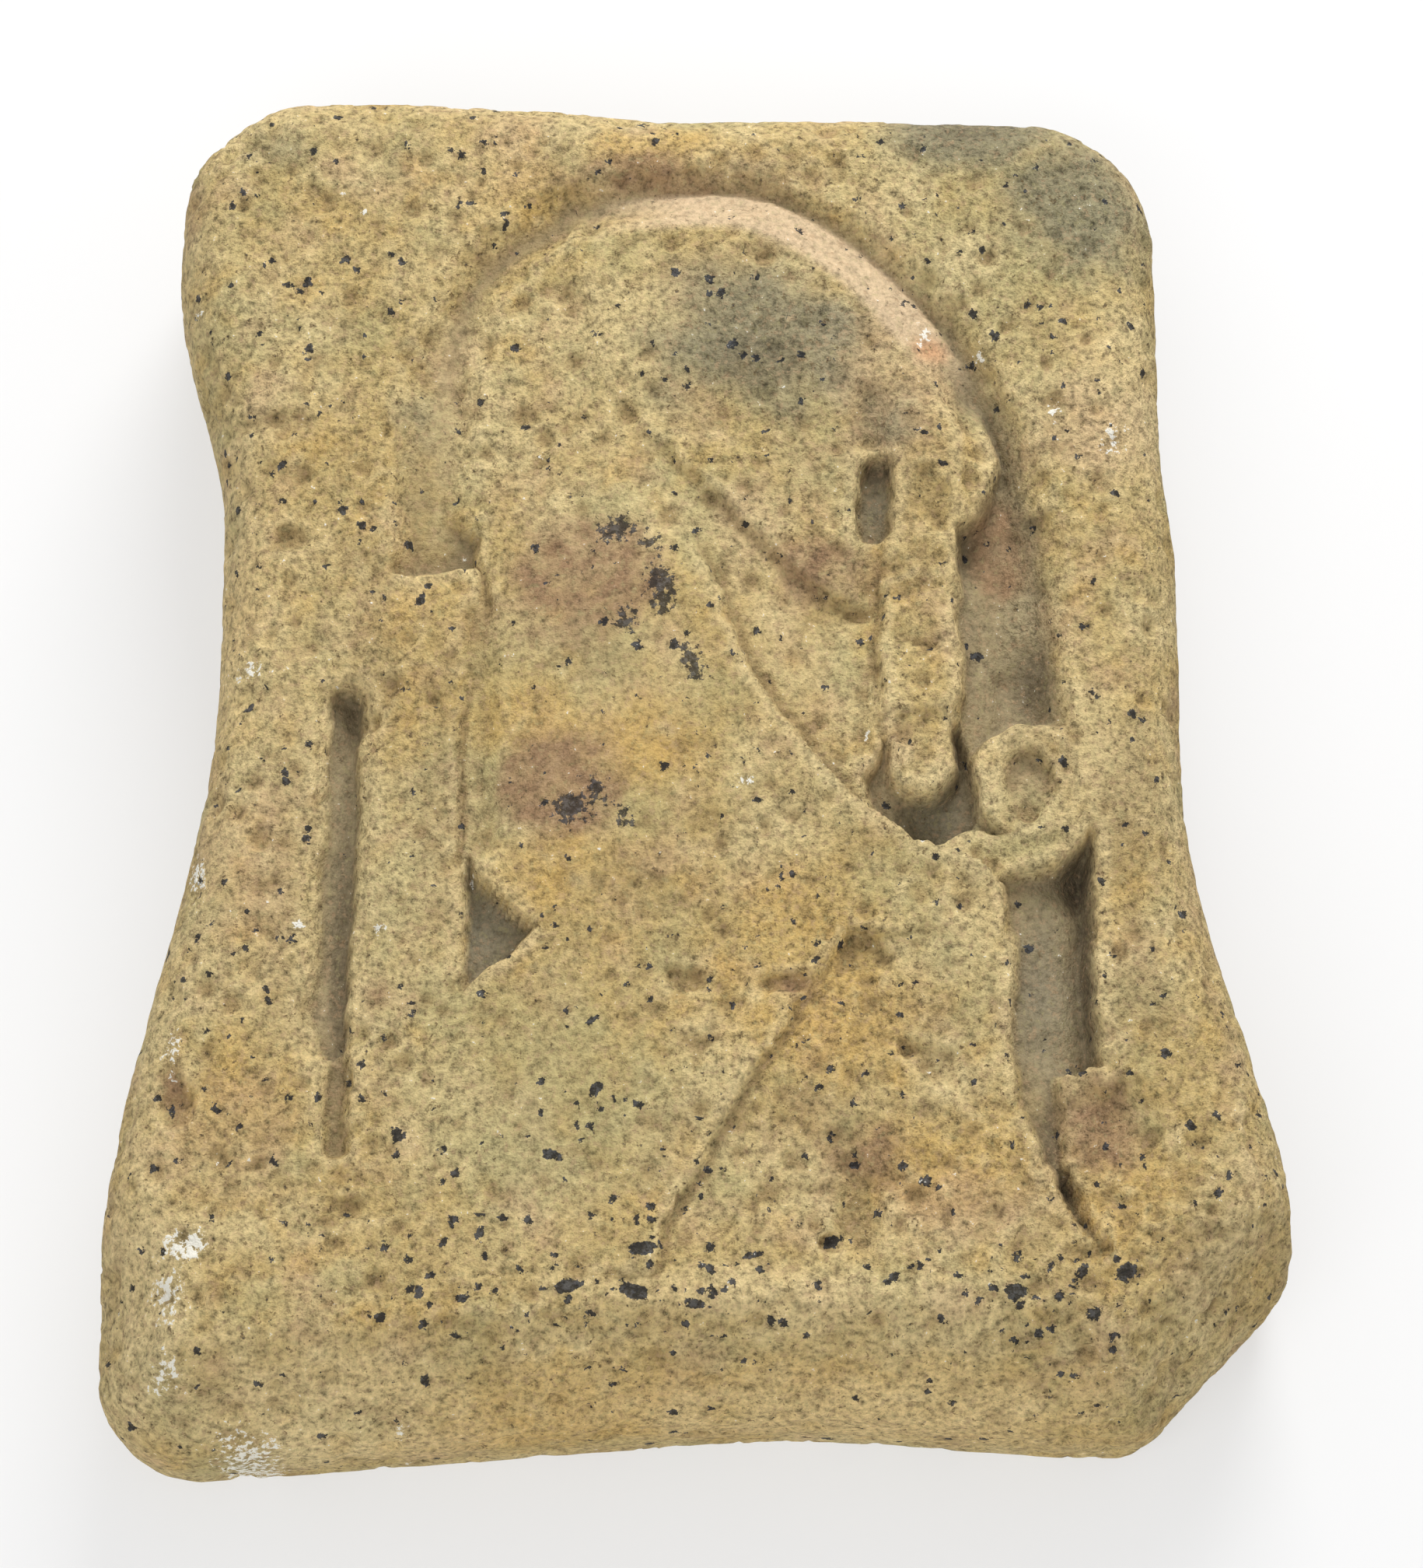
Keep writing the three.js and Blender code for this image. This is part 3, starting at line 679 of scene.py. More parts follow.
# Patches of colour on the face, each a rounded spot: strength, x, z, half width, half height
PATCHES = {
    "olive": [
        (0.9, 62, 104, 44, 44), (0.8, 38, -34, 16, 22), (0.7, -36, 5, 9, 34), (0.6, -86, 120, 20, 14),
        (0.8, -25, -70, 34, 34), (0.6, -62, -30, 30, 30), (0.6, 100, -118, 18, 14), (0.5, 8, 66, 20, 18)],
    # Warm yellow patches, partly the stone's own and partly painted highlight along the rounded foot and the
    # left border
    "amber": [
        (0.9, -4, 121, 26, 8), (0.8, 24, -52, 34, 30), (0.8, -32, 4, 20, 14), (0.9, -26, -28, 18, 12),
        (1, 10, -127, 90, 13), (0.9, 46, -84, 26, 14), (0.7, -86, 20, 9, 44), (0.6, -50, 22, 14, 14),
        (0.8, -4, -2, 20, 14), (0.7, -30, 112, 18, 12), (0.7, 76, -88, 18, 16), (0.6, -86, -70, 16, 24)],
    # Pale patches, partly chalky or rubbed stone and partly painted highlight on the left and right borders
    # and along the foot
    "pale": [
        (1, 20, -108, 56, 8), (1, 30, -127, 60, 9), (1, -86, 28, 8, 46), (0.8, -60, -126, 40, 14),
        (0.9, -98, -100, 10, 40), (0.8, 40, 112, 12, 10), (0.9, 54, 98, 10, 8), (1, 83, 70, 13, 34),
        (0.6, -68, 38, 12, 10), (0.6, -74, 76, 12, 16), (0.7, 100, -118, 14, 14), (0.6, 14, 20, 12, 14),
        (0.6, 14, -6, 12, 14), (0.6, 40, -100, 20, 8), (0.6, 26, 84, 10, 10), (0.5, -38, 118, 20, 10)],
    # Brown patches, partly stains and partly painted shade in the gap beside the post, round the bowl, in the
    # deep corner beside the strip and in the lower channel
    "umber": [
        (0.7, -45, -10, 7, 34), (0.6, -58, 10, 9, 28), (0.6, -73, -4, 6, 22), (0.8, 84, -14, 9, 26),
        (0.7, 83, -50, 8, 22), (0.9, 96, -98, 10, 16), (0.7, 12, 116, 20, 12), (0.8, -16, 16, 14, 14),
        (0.7, 36, 52, 22, 20), (0.8, 66, 6, 9, 14), (0.6, 66, -10, 12, 12), (0.7, -2, 2, 9, 12),
        (0.6, 40, -16, 8, 8), (0.7, 12, 98, 14, 10), (0.6, -72, -56, 7, 14), (0.6, -2, -84, 10, 12),
        (0.6, 68, -112, 14, 10), (0.6, -77, 62, 9, 5), (0.6, -75, 39, 5, 5), (0.6, 46, 33, 12, 12),
        (0.9, -44, -20, 9, 32), (0.7, -58, 28, 9, 10), (0.6, -72, -8, 7, 16), (0.5, -30, 20, 14, 14),
        (0.8, 67, 0, 9, 20), (0.8, 68, -84, 9, 12), (0.9, 82, -14, 9, 14), (0.6, 40, -56, 12, 10)],
    "rose": [
        (0.8, 40, 72, 22, 22), (0.7, 78, 62, 14, 16), (0.6, -34, 124, 14, 8), (0.7, 50, -92, 22, 12),
        (0.6, -80, -30, 18, 30), (0.5, 18, 38, 18, 14), (0.6, -84, -80, 20, 14)],
    "stain": [
        (1.1, -18, 30, 21, 20), (1.3, -24, -12, 17, 14), (0.9, 26, 33, 14, 11), (0.7, -8, 116, 36, 8),
        (0.9, 60, 38, 9, 16), (0.9, 76, -76, 12, 16), (0.7, 34, -82, 14, 10), (0.7, -93, -70, 6, 12),
        (0.7, 22, -72, 8, 5), (0.6, -56, -52, 6, 6), (0.6, 20, -50, 7, 4)],
    "soot": [
        (1.4, 56, 127, 24, 16), (1.1, 76, 110, 22, 24), (1.1, 14, 80, 32, 24), (0.6, -80, 122, 10, 8),
        (0.6, 38, 66, 12, 14), (0.5, -52, 66, 7, 34)],
    "soot_core": [(1, 55, 128, 12, 10), (0.9, 13, 75, 12, 9)],
    "orange": [(1, 47, 79, 5, 4)],
    "grey_floor": [(1, 47, -15, 10, 10), (1, -37, -38, 10, 14), (0.8, 36.5, 47, 4, 9), (0.7, 66, -50, 8, 24)],
    # Painted shade: dark spots under the hand, the head's lobe and the slot's top, along the recess's right
    # wall and in the deep corners
    "deep_shade_and_soot": [
        (1, 73.5, -28, 6, 8), (0.9, 49, -6, 5, 9), (0.9, 69.5, -87, 4, 5), (0.8, 36.5, 54, 4.5, 3),
        (1, 75, -46, 3.2, 26), (0.7, 56, 41, 6, 9), (0.6, -63.5, 5, 3, 8), (0.8, 66, 12, 6, 9),
        (0.7, 67, -80, 5, 14), (0.6, -64, -40, 3, 40), (0.6, 76, 0, 4, 8)],
}
# Clouds all over the stone: colour, strength, the noise where they start and are full, spacing, seed
CLOUDS = [
    ("tan", 1, -0.35, 0.45, 24, 51), ("olive", 0.6, 0, 0.6, 17, 53), ("rose", 0.5, 0.05, 0.6, 13, 55),
    ("amber", 0.4, 0.1, 0.6, 10, 56)]
SMALL_CLOUDS = [("umber", 0.5, 0.15, 0.6, 4.5, 57), ("pale", 0.35, 0.2, 0.7, 5.5, 59)]
# How much of its colour each of the plain patches brings
STRENGTHS = {"olive": 0.6, "amber": 0.6, "pale": 0.5, "umber": 0.42, "rose": 0.55}


def tint(colours, amount, towards):
    return mix(colours, np.array(towards[:3]), np.clip(amount, 0, 1)[:, None])


def add_clouds(colours, points, look, clouds, layers):
    for name, strength, start, full, spacing, seed in clouds:
        cloud = smooth(start, full, layered_noise(points, spacing, seed, layers))
        colours = tint(colours, strength * cloud, getattr(look, name))
    return colours


def stone_colours(points, mesh, look):
    """The colour of the stone without its separate grains, from clouds, dirt, stains, soot and wear, with
    painted shade in the hollows, on the floors of the cuts and in the deep corners, and painted highlight on
    the borders, the foot and the head's worn edge.
    """
    x, z = points[:, 0], points[:, 2]
    face, hollow, carved = (read_mask(mesh, name) for name in ("face", "hollow", "carved"))
    front = smooth(8, 24, -points[:, 1])
    ragged_edge = 0.45 * layered_noise(points, 10, 61)
    colours = np.tile(np.array(look.ochre[:3]), (len(points), 1))
    colours = add_clouds(colours, points, look, CLOUDS, 3)

    # Plain patches of colour; the pale and amber ones along the borders and the foot are partly painted
    # highlight, the umber ones partly painted shade
    for name, strength in STRENGTHS.items():
        patch = largest(x, z, PATCHES[name])
        patch = smooth(0.0, 0.9, patch + 1.2 * ragged_edge * (patch > 0))
        colours = tint(colours, strength * patch * front, getattr(look, name))

    colours = add_clouds(colours, points, look, SMALL_CLOUDS, 2)
    # Brown dirt and painted shade in the hollows; the raised spots between them are paler, as rubbed stone
    colours = tint(colours, 0.7 * smooth(0.52, 0.95, hollow), look.umber)
    colours = tint(colours, 0.4 * smooth(0.46, 0.1, hollow), look.pale)
    # Dirt and painted shade: the floors of the cuts grow darker the deeper they are cut, less so in the left
    # niche
    in_left_niche = smooth(-40, -48, x) * smooth(30, 36, z)
    colours = tint(colours, 0.8 * smooth(1.5, 6, carved) * mix(1, 0.45, in_left_niche), look.floor_dirt_and_shade)
    grey_floor = largest(x, z, PATCHES["grey_floor"])
    colours = tint(colours, 0.6 * grey_floor * smooth(2, 4, carved), look.grey_floor)
    # Painted shade: the deepest corners of the cuts are darkened towards near black
    deep = largest(x, z, PATCHES["deep_shade_and_soot"])
    colours = tint(colours, 0.75 * deep * face * smooth(0.4, 2.5, carved), look.deep_shade_and_soot)

    mottle = 0.8 + 0.6 * layered_noise(points, 3.6, 63, 2)
    stain = largest(x, z, PATCHES["stain"])
    stain = smooth(0.1, 0.85, stain + 1.0 * ragged_edge * (stain > 0)) * mottle * front
    colours = tint(colours, stain, look.stain)
    soot = largest(x, z, PATCHES["soot"])
    colours = tint(colours, smooth(0.1, 1.0, soot + 0.8 * ragged_edge * (soot > 0)) * 0.8 * front, look.soot)
    core = largest(x, z, PATCHES["soot_core"])
    colours = tint(colours, 0.55 * core * mottle * front, look.deep_shade_and_soot)
    # Rosy worn edge of the head, painted lighter as a highlight as well
    colours = tint(colours, 0.85 * worn_bevel(x, z) * face, look.bevel)
    colours = tint(colours, 0.7 * largest(x, z, PATCHES["orange"]) * face, look.orange)
    return np.column_stack([colours, np.ones(len(points))])


# Where small black grains crowd, and where the stone is chalky: as the patches above
CROWDS = [
    (0.9, -12, -107, 46, 12), (0.65, -40, -104, 28, 16), (0.7, 40, -106, 28, 9), (0.9, 70, -107, 28, 14),
    (0.5, -5, -88, 34, 20), (0.5, 78, -96, 18, 16), (0.25, 60, -56, 10, 24), (0.25, -50, -60, 20, 30)]
CHALKS = [
    (0.9, -90, -99, 8, 5), (0.65, -93, -108, 6, 9), (0.6, -94, -122, 5, 7), (0.7, -80, -133, 10, 5),
    (0.9, -71.5, -38.5, 2.2, 2.2), (0.9, -56.5, -39, 2, 1.6), (0.95, 11.5, -10.5, 2.4, 2.2),
    (0.8, 34, -0.5, 1.4, 2.6),
    (0.9, -39.6, -28.5, 0.9, 2), (0.7, -91, -27, 3, 8), (0.65, -82, 13, 7, 3), (0.7, -94, 88, 1.6, 1.6),
    (0.75, -62.5, 107.5, 1.4, 1.8), (0.6, -94, -62, 3, 8), (0.7, 46, 82, 2.6, 3.6), (0.7, 57, 78, 2, 3.4),
    (0.55, 71, 66, 2, 6), (0.7, -51.5, -129.5, 1.8, 1.4), (0.7, 44, -22, 1.6, 1.2), (0.5, 82, 60, 4, 8)]
# Large black grains and dark smears: x, z, half length, half width, turn in degrees
GRAINS = [
    (-17, -57, 1.9, 1, 45), (-16, -70, 1.8, 1.4, 60), (-24, -82.5, 2.9, 1.1, -22),
    (-7.5, -100, 3.6, 1.6, 5),
    (12.5, -101, 2.7, 0.9, 12), (27, -98, 2.3, 1.6, 20), (-52, -79, 1.8, 1.1, 30), (-47, -114, 1.6, 1.1, 50),
    (-47, -122, 1.3, 1, 0), (-40, -109, 2, 1, 40), (-80, 97, 1.2, 0.9, 0), (-73, 92.5, 1.5, 1, -45),
    (-82, 81, 1.3, 0.7, 40), (-65, 44.5, 1.6, 1.2, 20), (34, 119.5, 1.3, 0.8, 0), (-6, 123, 0.9, 1.4, 0),
    (66, 88, 1.4, 0.8, 30), (45, 60, 2, 0.7, -20), (55, 17, 2, 1, 10), (-82, 5.5, 1.9, 0.8, 30),
    (-50, 25.5, 1, 1.8, -20), (-67, -71.5, 0.9, 1.2, 0), (77, 7.5, 2.4, 0.8, -50), (31, -83.5, 1.6, 0.7, 0),
    (80, -104, 3, 1.8, 30), (72, -104, 2, 1.3, 60), (60, -108, 2.6, 2, 0), (74, -112, 2, 1.5, 0),
    (-21, -107, 3.4, 1.6, 10), (-9, -108, 3.4, 1.8, -15), (2, -110, 2.2, 1.4, 0), (-94, -73, 0.9, 2.2, 10),
]
SMEARS = [
    (-13, 40, 5, 2.6, 15), (-6.5, 37, 2.8, 2.2, -40), (-4.5, 27, 3.2, 7, 8), (-11, 21, 2.5, 3.2, 0),
    (1.5, 12.5, 2.6, 5.2, 20), (-21, -16.5, 4.6, 3.6, -30), (-16, -13, 2.4, 3, 30),
    (-11, -19, 1.2, 3.2, 25),
]


def grain_field(x, z, grains, reach):
    """1 in the middle of the nearest grain, 0.5 at its edge, falling to 0 outside it."""
    field = np.zeros(len(x))
    for px, pz, length, width, turn in grains:
        c, s = math.cos(math.radians(turn)), math.sin(math.radians(turn))
        dx, dz = x - px, z - pz
        away = to_ellipse(dx * c + dz * s, dz * c - dx * s, (0, 0), (0.8 * length, 0.8 * width))
        field = np.maximum(field, np.clip(0.5 - away / reach, 0, 1))
    return field


def grain_masks(points, mesh):
    x, z = points[:, 0], points[:, 2]
    face = read_mask(mesh, "face")
    crowd = largest(x, z, CROWDS)
    chalk = largest(x, z, CHALKS)
    return {
        "crowd": np.maximum(crowd, 0.16) * mix(0.6, 1, face),
        "chalk": chalk,
        "grain": grain_field(x, z, GRAINS, 2.4) * face,
        "smear": grain_field(x, z, SMEARS, 5) * face,
    }


# ---- Material

GRAIN_SPACING = 2.2  # millimetres between the places where a small black grain may lie
GRAIN_SWAY = 3.2  # and how far the sand's noise shifts them, which makes them angular


class Nodes:
    """Adds and links the nodes of one material."""

    def __init__(self, name):
        self.material = bpy.data.materials.new(name)
        self.material.use_nodes = True
        self.tree = self.material.node_tree
        self.tree.nodes.clear()

    def add(self, kind, **settings):
        node = self.tree.nodes.new(kind)
        for key, value in settings.items():
            setattr(node, key, value)
        return node

    def feed(self, socket, value):
        if isinstance(value, bpy.types.NodeSocket):
            self.tree.links.new(value, socket)
        else:
            socket.default_value = value

    def math(self, operation, a, b=0.0):
        node = self.add("ShaderNodeMath", operation=operation)
        self.feed(node.inputs[0], a)
        self.feed(node.inputs[1], b)
        return node.outputs[0]

    def ramp(self, value, start, end, low=0.0, high=1.0, kind="SMOOTHSTEP"):
        """low below start and high above end."""
        node = self.add("ShaderNodeMapRange", interpolation_type=kind)
        self.feed(node.inputs["Value"], value)
        for key, setting in (("From Min", start), ("From Max", end), ("To Min", low), ("To Max", high)):
            self.feed(node.inputs[key], setting)
        return node.outputs["Result"]

    def vector(self, operation, a, b):
        node = self.add("ShaderNodeVectorMath", operation=operation)
        self.feed(node.inputs[0], a)
        self.feed(node.inputs["Scale" if operation == "SCALE" else 1], b)
        return node.outputs[0]

    def channels(self, colour):
        node = self.add("ShaderNodeSeparateColor")
        self.feed(node.inputs["Color"], colour)
        return node.outputs

    def noise(self, where, spacing, detail, roughness):
        node = self.add("ShaderNodeTexNoise")
        self.feed(node.inputs["Vector"], where)
        node.inputs["Scale"].default_value = 1 / (spacing * MM)
        node.inputs["Detail"].default_value = detail
        node.inputs["Roughness"].default_value = roughness
        return node

    def blend(self, amount, first, second, mode="MIX"):
        node = self.add("ShaderNodeMix", data_type="RGBA", blend_type=mode)
        self.feed(node.inputs["Factor"], amount)
        self.feed(node.inputs["A"], first)
        self.feed(node.inputs["B"], second)
        return node.outputs["Result"]

    def finished(self, shader):
        out = self.add("ShaderNodeOutputMaterial")
        self.feed(out.inputs["Surface"], shader.outputs[0])
        return self.material

    def attribute(self, name, output="Fac"):
        node = self.add("ShaderNodeAttribute", attribute_type="GEOMETRY", attribute_name=name)
        return node.outputs[output]


def add_sand(n, look, sand, rubbed, colour):
    """Light and dark grains of sand, open pores and pale grains, and how coarse the stone is."""
    tone, hue, pick = n.channels(sand.outputs["Color"])
    coarse = n.ramp(rubbed, 0.0, 1.0, 1.0, 0.55, "LINEAR")
    off_middle = n.math("MULTIPLY", n.math("SUBTRACT", tone, 0.5), coarse)
    darker, lighter = n.math("MULTIPLY", off_middle, 3.5), n.math("MULTIPLY", off_middle, 2.1)
    shade = n.math("ADD", n.math("MINIMUM", darker, lighter), 1.07)
    grey = n.add("ShaderNodeCombineColor")
    for socket in grey.inputs:
        n.feed(socket, shade)
    colour = n.blend(1.0, colour, grey.outputs["Color"], "MULTIPLY")
    colour = n.blend(n.ramp(hue, 0.52, 0.68, 0.0, 0.45), colour, tuple(look.rose))
    colour = n.blend(n.ramp(hue, 0.46, 0.3, 0.0, 0.4), colour, tuple(look.olive))
    colour = n.blend(n.math("MULTIPLY", n.ramp(pick, 0.6, 0.68, 0.0, 0.75), coarse), colour, tuple(look.pore))
    colour = n.blend(n.math("MULTIPLY", n.ramp(pick, 0.4, 0.32, 0.0, 0.22), coarse), colour, tuple(look.pale))
    return colour, coarse


def add_black_grains(n, look, where, sand, colour):
    """Angular black grains: small ones where they crowd, and the large ones and smears where they lie."""
    tone, _, pick = n.channels(sand.outputs["Color"])
    crowd, grain, smear = (n.attribute(name) for name in ("crowd", "grain", "smear"))
    sway = n.vector("SUBTRACT", sand.outputs["Color"], (0.5, 0.5, 0.5))
    cell = n.add("ShaderNodeTexVoronoi")
    n.feed(cell.inputs["Vector"], n.vector("ADD", where, n.vector("SCALE", sway, GRAIN_SWAY * MM)))
    cell.inputs["Scale"].default_value = 1 / (GRAIN_SPACING * MM)
    chance, size, _ = n.channels(cell.outputs["Color"])
    reach = n.math("ADD", n.math("MULTIPLY", n.math("POWER", size, 2.5), 0.36), 0.12)
    near_middle = n.math("LESS_THAN", cell.outputs["Distance"], reach)
    small = n.math("MULTIPLY", n.math("GREATER_THAN", crowd, chance), near_middle)
    uneven = n.math("MULTIPLY", n.math("SUBTRACT", pick, 0.5), 1.3)
    large = n.ramp(n.math("ADD", grain, uneven), 0.5, 0.56)
    smeared = n.ramp(n.math("ADD", smear, n.math("MULTIPLY", uneven, 2.2)), 0.55, 0.68, 0.0, 0.9)
    black = n.math("MAXIMUM", n.math("MAXIMUM", small, large), smeared)
    black_tone = n.blend(n.ramp(tone, 0.45, 0.6), tuple(look.black_grain), tuple(look.blue_grain))
    return n.blend(n.math("MULTIPLY", black, 0.93), colour, black_tone)


def add_chalk(n, look, sand, colour):
    """Chalky white patches, broken up by the grain."""
    tone = n.channels(sand.outputs["Color"])[0]
    broken_up = n.math("MULTIPLY", n.math("SUBTRACT", tone, 0.5), 3.2)
    chalky = n.math("ADD", n.attribute("chalk"), broken_up)
    return n.blend(n.ramp(chalky, 0.63, 0.73, 0.0, 0.9), colour, tuple(look.chalk))


def sandstone(look):
    n = Nodes("weathered_sandstone")
    where = n.add("ShaderNodeTexCoord").outputs["Object"]
    sand = n.noise(where, look.grain_size, 3.0, 0.72)
    colour, coarse = add_sand(n, look, sand, n.attribute("rubbed"), n.attribute("stone_colour", "Color"))
    colour = add_black_grains(n, look, where, sand, colour)
    colour = add_chalk(n, look, sand, colour)

    bump = n.add("ShaderNodeBump")
    bump.inputs["Distance"].default_value = look.grain_relief * MM
    n.feed(bump.inputs["Strength"], coarse)
    n.feed(bump.inputs["Height"], sand.outputs["Fac"])

    shader = n.add("ShaderNodeBsdfPrincipled")
    shader.inputs["Specular IOR Level"].default_value = 0.2
    shader.inputs["Roughness"].default_value = look.roughness
    n.feed(shader.inputs["Base Color"], colour)
    n.feed(shader.inputs["Normal"], bump.outputs["Normal"])
    return n.finished(shader)


def pale_wall(look):
    """A pale surface seen from in front only, lit partly by itself so that the shadow on it stays light."""
    n = Nodes("pale_wall")
    paint = n.add("ShaderNodeBsdfDiffuse")
    paint.inputs["Color"].default_value = tuple(look)
    glow = n.add("ShaderNodeEmission")
    glow.inputs["Color"].default_value = (0.93, 0.93, 0.935, 1)
    lit = n.add("ShaderNodeMixShader")
    lit.inputs[0].default_value = 0.55
    n.feed(lit.inputs[1], paint.outputs[0])
    n.feed(lit.inputs[2], glow.outputs[0])
    clear = n.add("ShaderNodeBsdfTransparent")
    either = n.add("ShaderNodeMixShader")
    n.feed(either.inputs[0], n.add("ShaderNodeNewGeometry").outputs["Backfacing"])
    n.feed(either.inputs[1], lit.outputs[0])
    n.feed(either.inputs[2], clear.outputs[0])
    return n.finished(either)


# ---- Settings

def colour_setting(name, description, default):
    return bpy.props.FloatVectorProperty(
        name=name, description=description, default=default + (1.0,), size=4, min=0, max=1, subtype="COLOR")


class StoneWear(bpy.types.PropertyGroup):
    weathering: bpy.props.FloatProperty(
        name="Weathering", description="How deep the weather has eaten into the surface", default=0.0006,
        min=0, max=0.003, unit="LENGTH", subtype="DISTANCE")
    pits: bpy.props.IntProperty(
        name="Pits", description="How many grains have dropped out and left a pit", default=2600, min=0)


class StoneLook(bpy.types.PropertyGroup):
    ochre: colour_setting("Ochre", "Main colour of the stone", (0.455, 0.335, 0.14))
    tan: colour_setting("Tan", "Lighter clouds in the stone", (0.54, 0.425, 0.21))
    olive: colour_setting("Olive", "Greenish weathering", (0.395, 0.345, 0.165))
    rose: colour_setting("Rose", "Rosy clouds in the stone", (0.47, 0.315, 0.18))
    # Warm yellow of the weathering and of the painted highlight along the foot
    amber: colour_setting("Amber", "Warm yellow weathering", (0.52, 0.33, 0.1))
    # Brown of the dirt and painted shade in the hollows, and of the brown patches and clouds
    umber: colour_setting("Umber", "Brown dirt in hollows", (0.24, 0.165, 0.075))
    # Pale of the rubbed high places and grains, and of the painted highlight on the borders and the foot
    pale: colour_setting("Pale", "Rubbed high places and pale grains", (0.68, 0.54, 0.29))
    grey_floor: colour_setting("Grey floor", "Pale grey dust on the flat floors", (0.17, 0.165, 0.125))
    # Colour of the dirt and painted shade on the floors of the cuts
    floor_dirt_and_shade: colour_setting("Floor dirt", "Grey dirt on the floors of the cuts", (0.25, 0.205, 0.125))
    # Near black of the painted shade in the deepest corners, also used for the soot's core
    deep_shade_and_soot: colour_setting("Deep dirt", "Dark dirt in the deepest corners", (0.07, 0.055, 0.04))
    stain: colour_setting("Stain", "Brown stains on the body", (0.28, 0.175, 0.095))
    soot: colour_setting("Soot", "Grey soot on the corner and the head", (0.2, 0.185, 0.12))
    # Rosy colour of the worn edge, lightened as a painted highlight
    bevel: colour_setting("Worn edge", "Smooth rosy edge of the head", (0.6, 0.45, 0.29))
    pore: colour_setting("Pore", "Open pores between the grains", (0.15, 0.1, 0.045))
    black_grain: colour_setting("Black grain", "Black grains in the stone", (0.018, 0.019, 0.022))
    blue_grain: colour_setting("Blue grain", "Lighter face of a black grain", (0.06, 0.065, 0.075))
    orange: colour_setting("Orange", "Small orange spot on the worn edge", (0.6, 0.3, 0.15))
    chalk: colour_setting("Chalk", "White chalky patches", (0.86, 0.84, 0.76))
    grain_size: bpy.props.FloatProperty(
        name="Grain size", description="Width of the largest sand grains in millimetres", default=1.5,
        min=0.2, max=6)
    grain_relief: bpy.props.FloatProperty(
        name="Grain relief", description="Height of the sand grains in millimetres", default=1.1,
        min=0, max=3)
    roughness: bpy.props.FloatProperty(
        name="Roughness", description="Roughness of the dry stone", default=0.93,
        min=0, max=1, subtype="FACTOR")


class StageLook(bpy.types.PropertyGroup):
    camera_distance: bpy.props.FloatProperty(
        name="Camera distance", description="From the camera to the face of the panel", default=1.0064,
        min=0.2, unit="LENGTH", subtype="DISTANCE")
    camera_drop: bpy.props.FloatProperty(
        name="Camera drop", description="Angle of the camera below the panel's square line",
        default=math.radians(20), unit="ROTATION", subtype="ANGLE")
    lens: bpy.props.FloatProperty(name="Lens", description="Focal length in millimetres", default=124, min=10)
    key_power: bpy.props.FloatProperty(
        name="Key light", description="Power of the soft light above the panel", default=16,
        min=0, unit="POWER")
    fill: bpy.props.FloatProperty(
        name="Fill", description="Strength of the even light all round", default=0.56, min=0)
    wall: colour_setting("Wall", "Colour of the pale surface behind the panel", (0.93, 0.93, 0.93))
    floor: colour_setting("Floor", "Colour of the pale floor", (0.8, 0.8, 0.79))


# ---- Stage

FLOOR_DROP = 0.62
WALL_SIZE = (3, 1.9)
WALL_GAP = 0.0006
AIM_OFFSET = Vector((0.0027, 0.004, -0.0122))
# Soft lamps: name, place in metres, size, share of the key light's power
LAMPS = [
    ("key_light", (0.25, -0.75, 1.15), 0.7, 1),
    ("low_light", (-0.35, -1, -0.75), 0.8, 0.35),
    ("back_light", (-0.6, 1.2, 0.9), 1.2, 0.8),
]


def add_floor(stage, height):
    clear_selection()
    bpy.ops.mesh.primitive_plane_add(size=6, location=(0, 0, height))
    floor = bpy.context.object
    floor.name = "floor"
    bpy.ops.object.transform_apply(location=True, rotation=True, scale=True)
    pale = bpy.data.materials.new("pale_floor")
    pale.use_nodes = True
    shader = pale.node_tree.nodes["Principled BSDF"]
    shader.inputs["Base Color"].default_value = tuple(stage.floor)
    shader.inputs["Roughness"].default_value = 0.9
    floor.data.materials.append(pale)


def add_wall(stage, floor_height):
    clear_selection()
    bpy.ops.mesh.primitive_plane_add(size=1, rotation=(math.pi / 2, 0, 0))
    wall = bpy.context.object
    wall.name = "wall"
    wall.scale = (*WALL_SIZE, 1)
    wall.location = (0, WALL_GAP, floor_height + WALL_SIZE[1] / 2)
    bpy.ops.object.transform_apply(location=True, rotation=True, scale=True)
    wall.data.materials.append(pale_wall(stage.wall))
    wall.visible_shadow = wall.visible_diffuse = wall.visible_glossy = wall.visible_transmission = False


def add_lights(context, stage, face_middle):
    world = bpy.data.worlds.new("soft_studio")
    context.scene.world = world
    world.use_nodes = True
    sky = world.node_tree.nodes["Background"]
    sky.inputs["Color"].default_value = (1, 1, 1, 1)
    sky.inputs["Strength"].default_value = stage.fill
    for name, place, size, share in LAMPS:
        lamp = bpy.data.lights.new(name, "AREA")
        lamp.energy = stage.key_power * share
        lamp.size = size
        holder = bpy.data.objects.new(name, lamp)
        context.collection.objects.link(holder)
        holder.location = place
        holder.rotation_euler = (face_middle - holder.location).to_track_quat("-Z", "Y").to_euler()


def add_camera(context, stage, face_middle):
    lens = bpy.data.cameras.new("camera")
    lens.sensor_fit = "VERTICAL"
    lens.sensor_height = 36
    lens.lens = stage.lens
    camera = bpy.data.objects.new("camera", lens)
    context.collection.objects.link(camera)
    back = Vector((0, -math.cos(stage.camera_drop), -math.sin(stage.camera_drop)))
    camera.location = face_middle + AIM_OFFSET + back * stage.camera_distance
    camera.rotation_euler = (math.pi / 2 + stage.camera_drop, 0, 0)
    context.scene.camera = camera


# ---- Operators

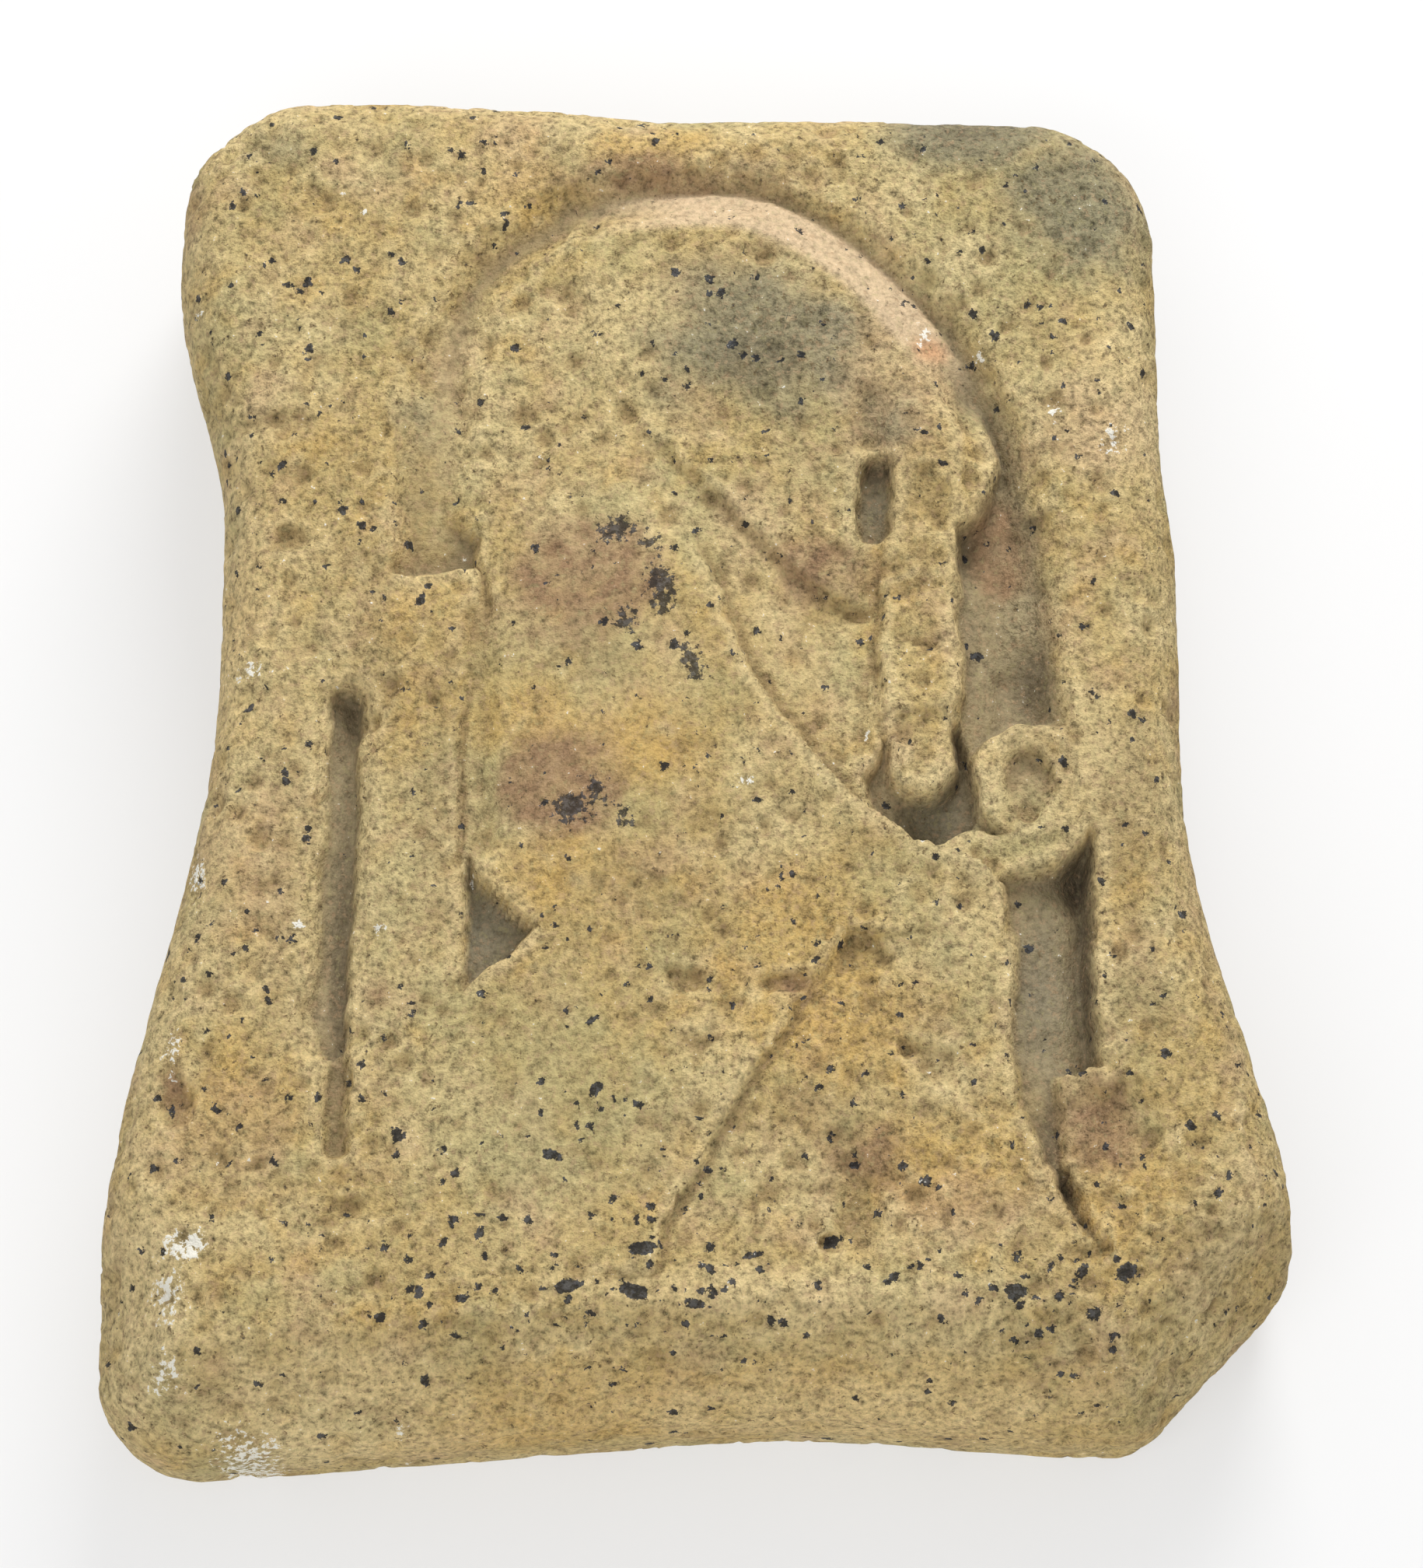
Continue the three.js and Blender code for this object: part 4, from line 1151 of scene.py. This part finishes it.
class CarvePanel(bpy.types.Operator):
    """Carve the slab, its niche and its figure, and weather the stone"""
    bl_idname = "relief.carve_panel"
    bl_label = "Carve and weather the panel"

    def execute(self, context):
        wear = context.scene.relief_wear
        slab = plain_slab()
        slab.name = slab.data.name = PANEL_NAME
        mesh = slab.data
        points, face = carve(slab)
        x, z = points[:, 0], points[:, 2]
        rubbed = smooth_stone(x, z, face)
        coarse = 1 + 1.2 * smooth(14, 6, to_break(x, z)) + 0.5 * smooth(-60, -95, z) * face
        coarse *= mix(0.7, 1, smooth(2, 12, -points[:, 1]))
        eaten = rough_depth(points, rubbed, wear.weathering / MM * coarse)
        eaten += pit_depth(points, (points[:, 1] < -1) * (1.05 - rubbed), wear.pits, 23) * (1 - 0.7 * rubbed)
        carved = carved_depth(*ragged(x, z)) * face
        worn = points - read_normals(mesh) * (eaten - eaten.mean())[:, None]
        write_mask(mesh, "face", face)
        write_mask(mesh, "carved", carved)
        write_mask(mesh, "rubbed", rubbed)
        write_mask(mesh, "hollow", hollow_mask(worn, face))
        write_points(mesh, fit_to_box(worn))
        clear_selection()
        slab.select_set(True)
        context.view_layer.objects.active = slab
        bpy.ops.object.shade_smooth()
        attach(slab, "root")
        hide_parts(PANEL_NODE)
        return {"FINISHED"}


class FinishPanel(bpy.types.Operator):
    """Give the panel its sandstone, stains, soot and black grains"""
    bl_idname = "relief.finish_panel"
    bl_label = "Colour the stone"

    def execute(self, context):
        look = context.scene.relief_look
        slab = bpy.data.objects[PANEL_NAME]
        mesh = slab.data
        points = read_points(mesh) / MM
        layer = mesh.attributes.new("stone_colour", "FLOAT_COLOR", "POINT")
        layer.data.foreach_set("color", stone_colours(points, mesh, look).astype(np.float32).ravel())
        for name, values in grain_masks(points, mesh).items():
            write_mask(mesh, name, values)
        mesh.materials.clear()
        mesh.materials.append(sandstone(look))
        return {"FINISHED"}


class SetStage(bpy.types.Operator):
    """Set the floor, the lights and the camera"""
    bl_idname = "relief.set_stage"
    bl_label = "Set the stage"

    def execute(self, context):
        stage = context.scene.relief_stage
        low, high = (np.array(corner) for corner in cad_box)
        face_middle = Vector(((low[0] + high[0]) / 2, low[1], (low[2] + high[2]) / 2))
        floor_height = low[2] - FLOOR_DROP
        add_floor(stage, floor_height)
        add_wall(stage, floor_height)
        add_lights(context, stage, face_middle)
        add_camera(context, stage, face_middle)
        context.scene.view_settings.view_transform = "Standard"
        return {"FINISHED"}


class ReliefSidebar(bpy.types.Panel):
    """The steps and settings of the relief panel"""
    bl_idname = "VIEW3D_PT_relief_panel"
    bl_label = "Stone relief panel"
    bl_space_type = "VIEW_3D"
    bl_region_type = "UI"
    bl_category = "Relief"

    def draw(self, context):
        steps = (("relief_wear", CarvePanel), ("relief_look", FinishPanel), ("relief_stage", SetStage))
        for group, operator in steps:
            box = self.layout.box()
            settings = getattr(context.scene, group)
            for key in settings.__annotations__:
                box.prop(settings, key)
            box.operator(operator.bl_idname)


CLASSES = (StoneWear, StoneLook, StageLook, CarvePanel, FinishPanel, SetStage, ReliefSidebar)


def register():
    for cls in CLASSES:
        bpy.utils.register_class(cls)
    bpy.types.Scene.relief_wear = bpy.props.PointerProperty(type=StoneWear)
    bpy.types.Scene.relief_look = bpy.props.PointerProperty(type=StoneLook)
    bpy.types.Scene.relief_stage = bpy.props.PointerProperty(type=StageLook)


def unregister():
    for name in ("relief_wear", "relief_look", "relief_stage"):
        delattr(bpy.types.Scene, name)
    for cls in reversed(CLASSES):
        bpy.utils.unregister_class(cls)


def main():
    register()
    bpy.ops.relief.carve_panel()
    bpy.ops.relief.finish_panel()
    bpy.ops.relief.set_stage()


if __name__ == "__main__":
    main()
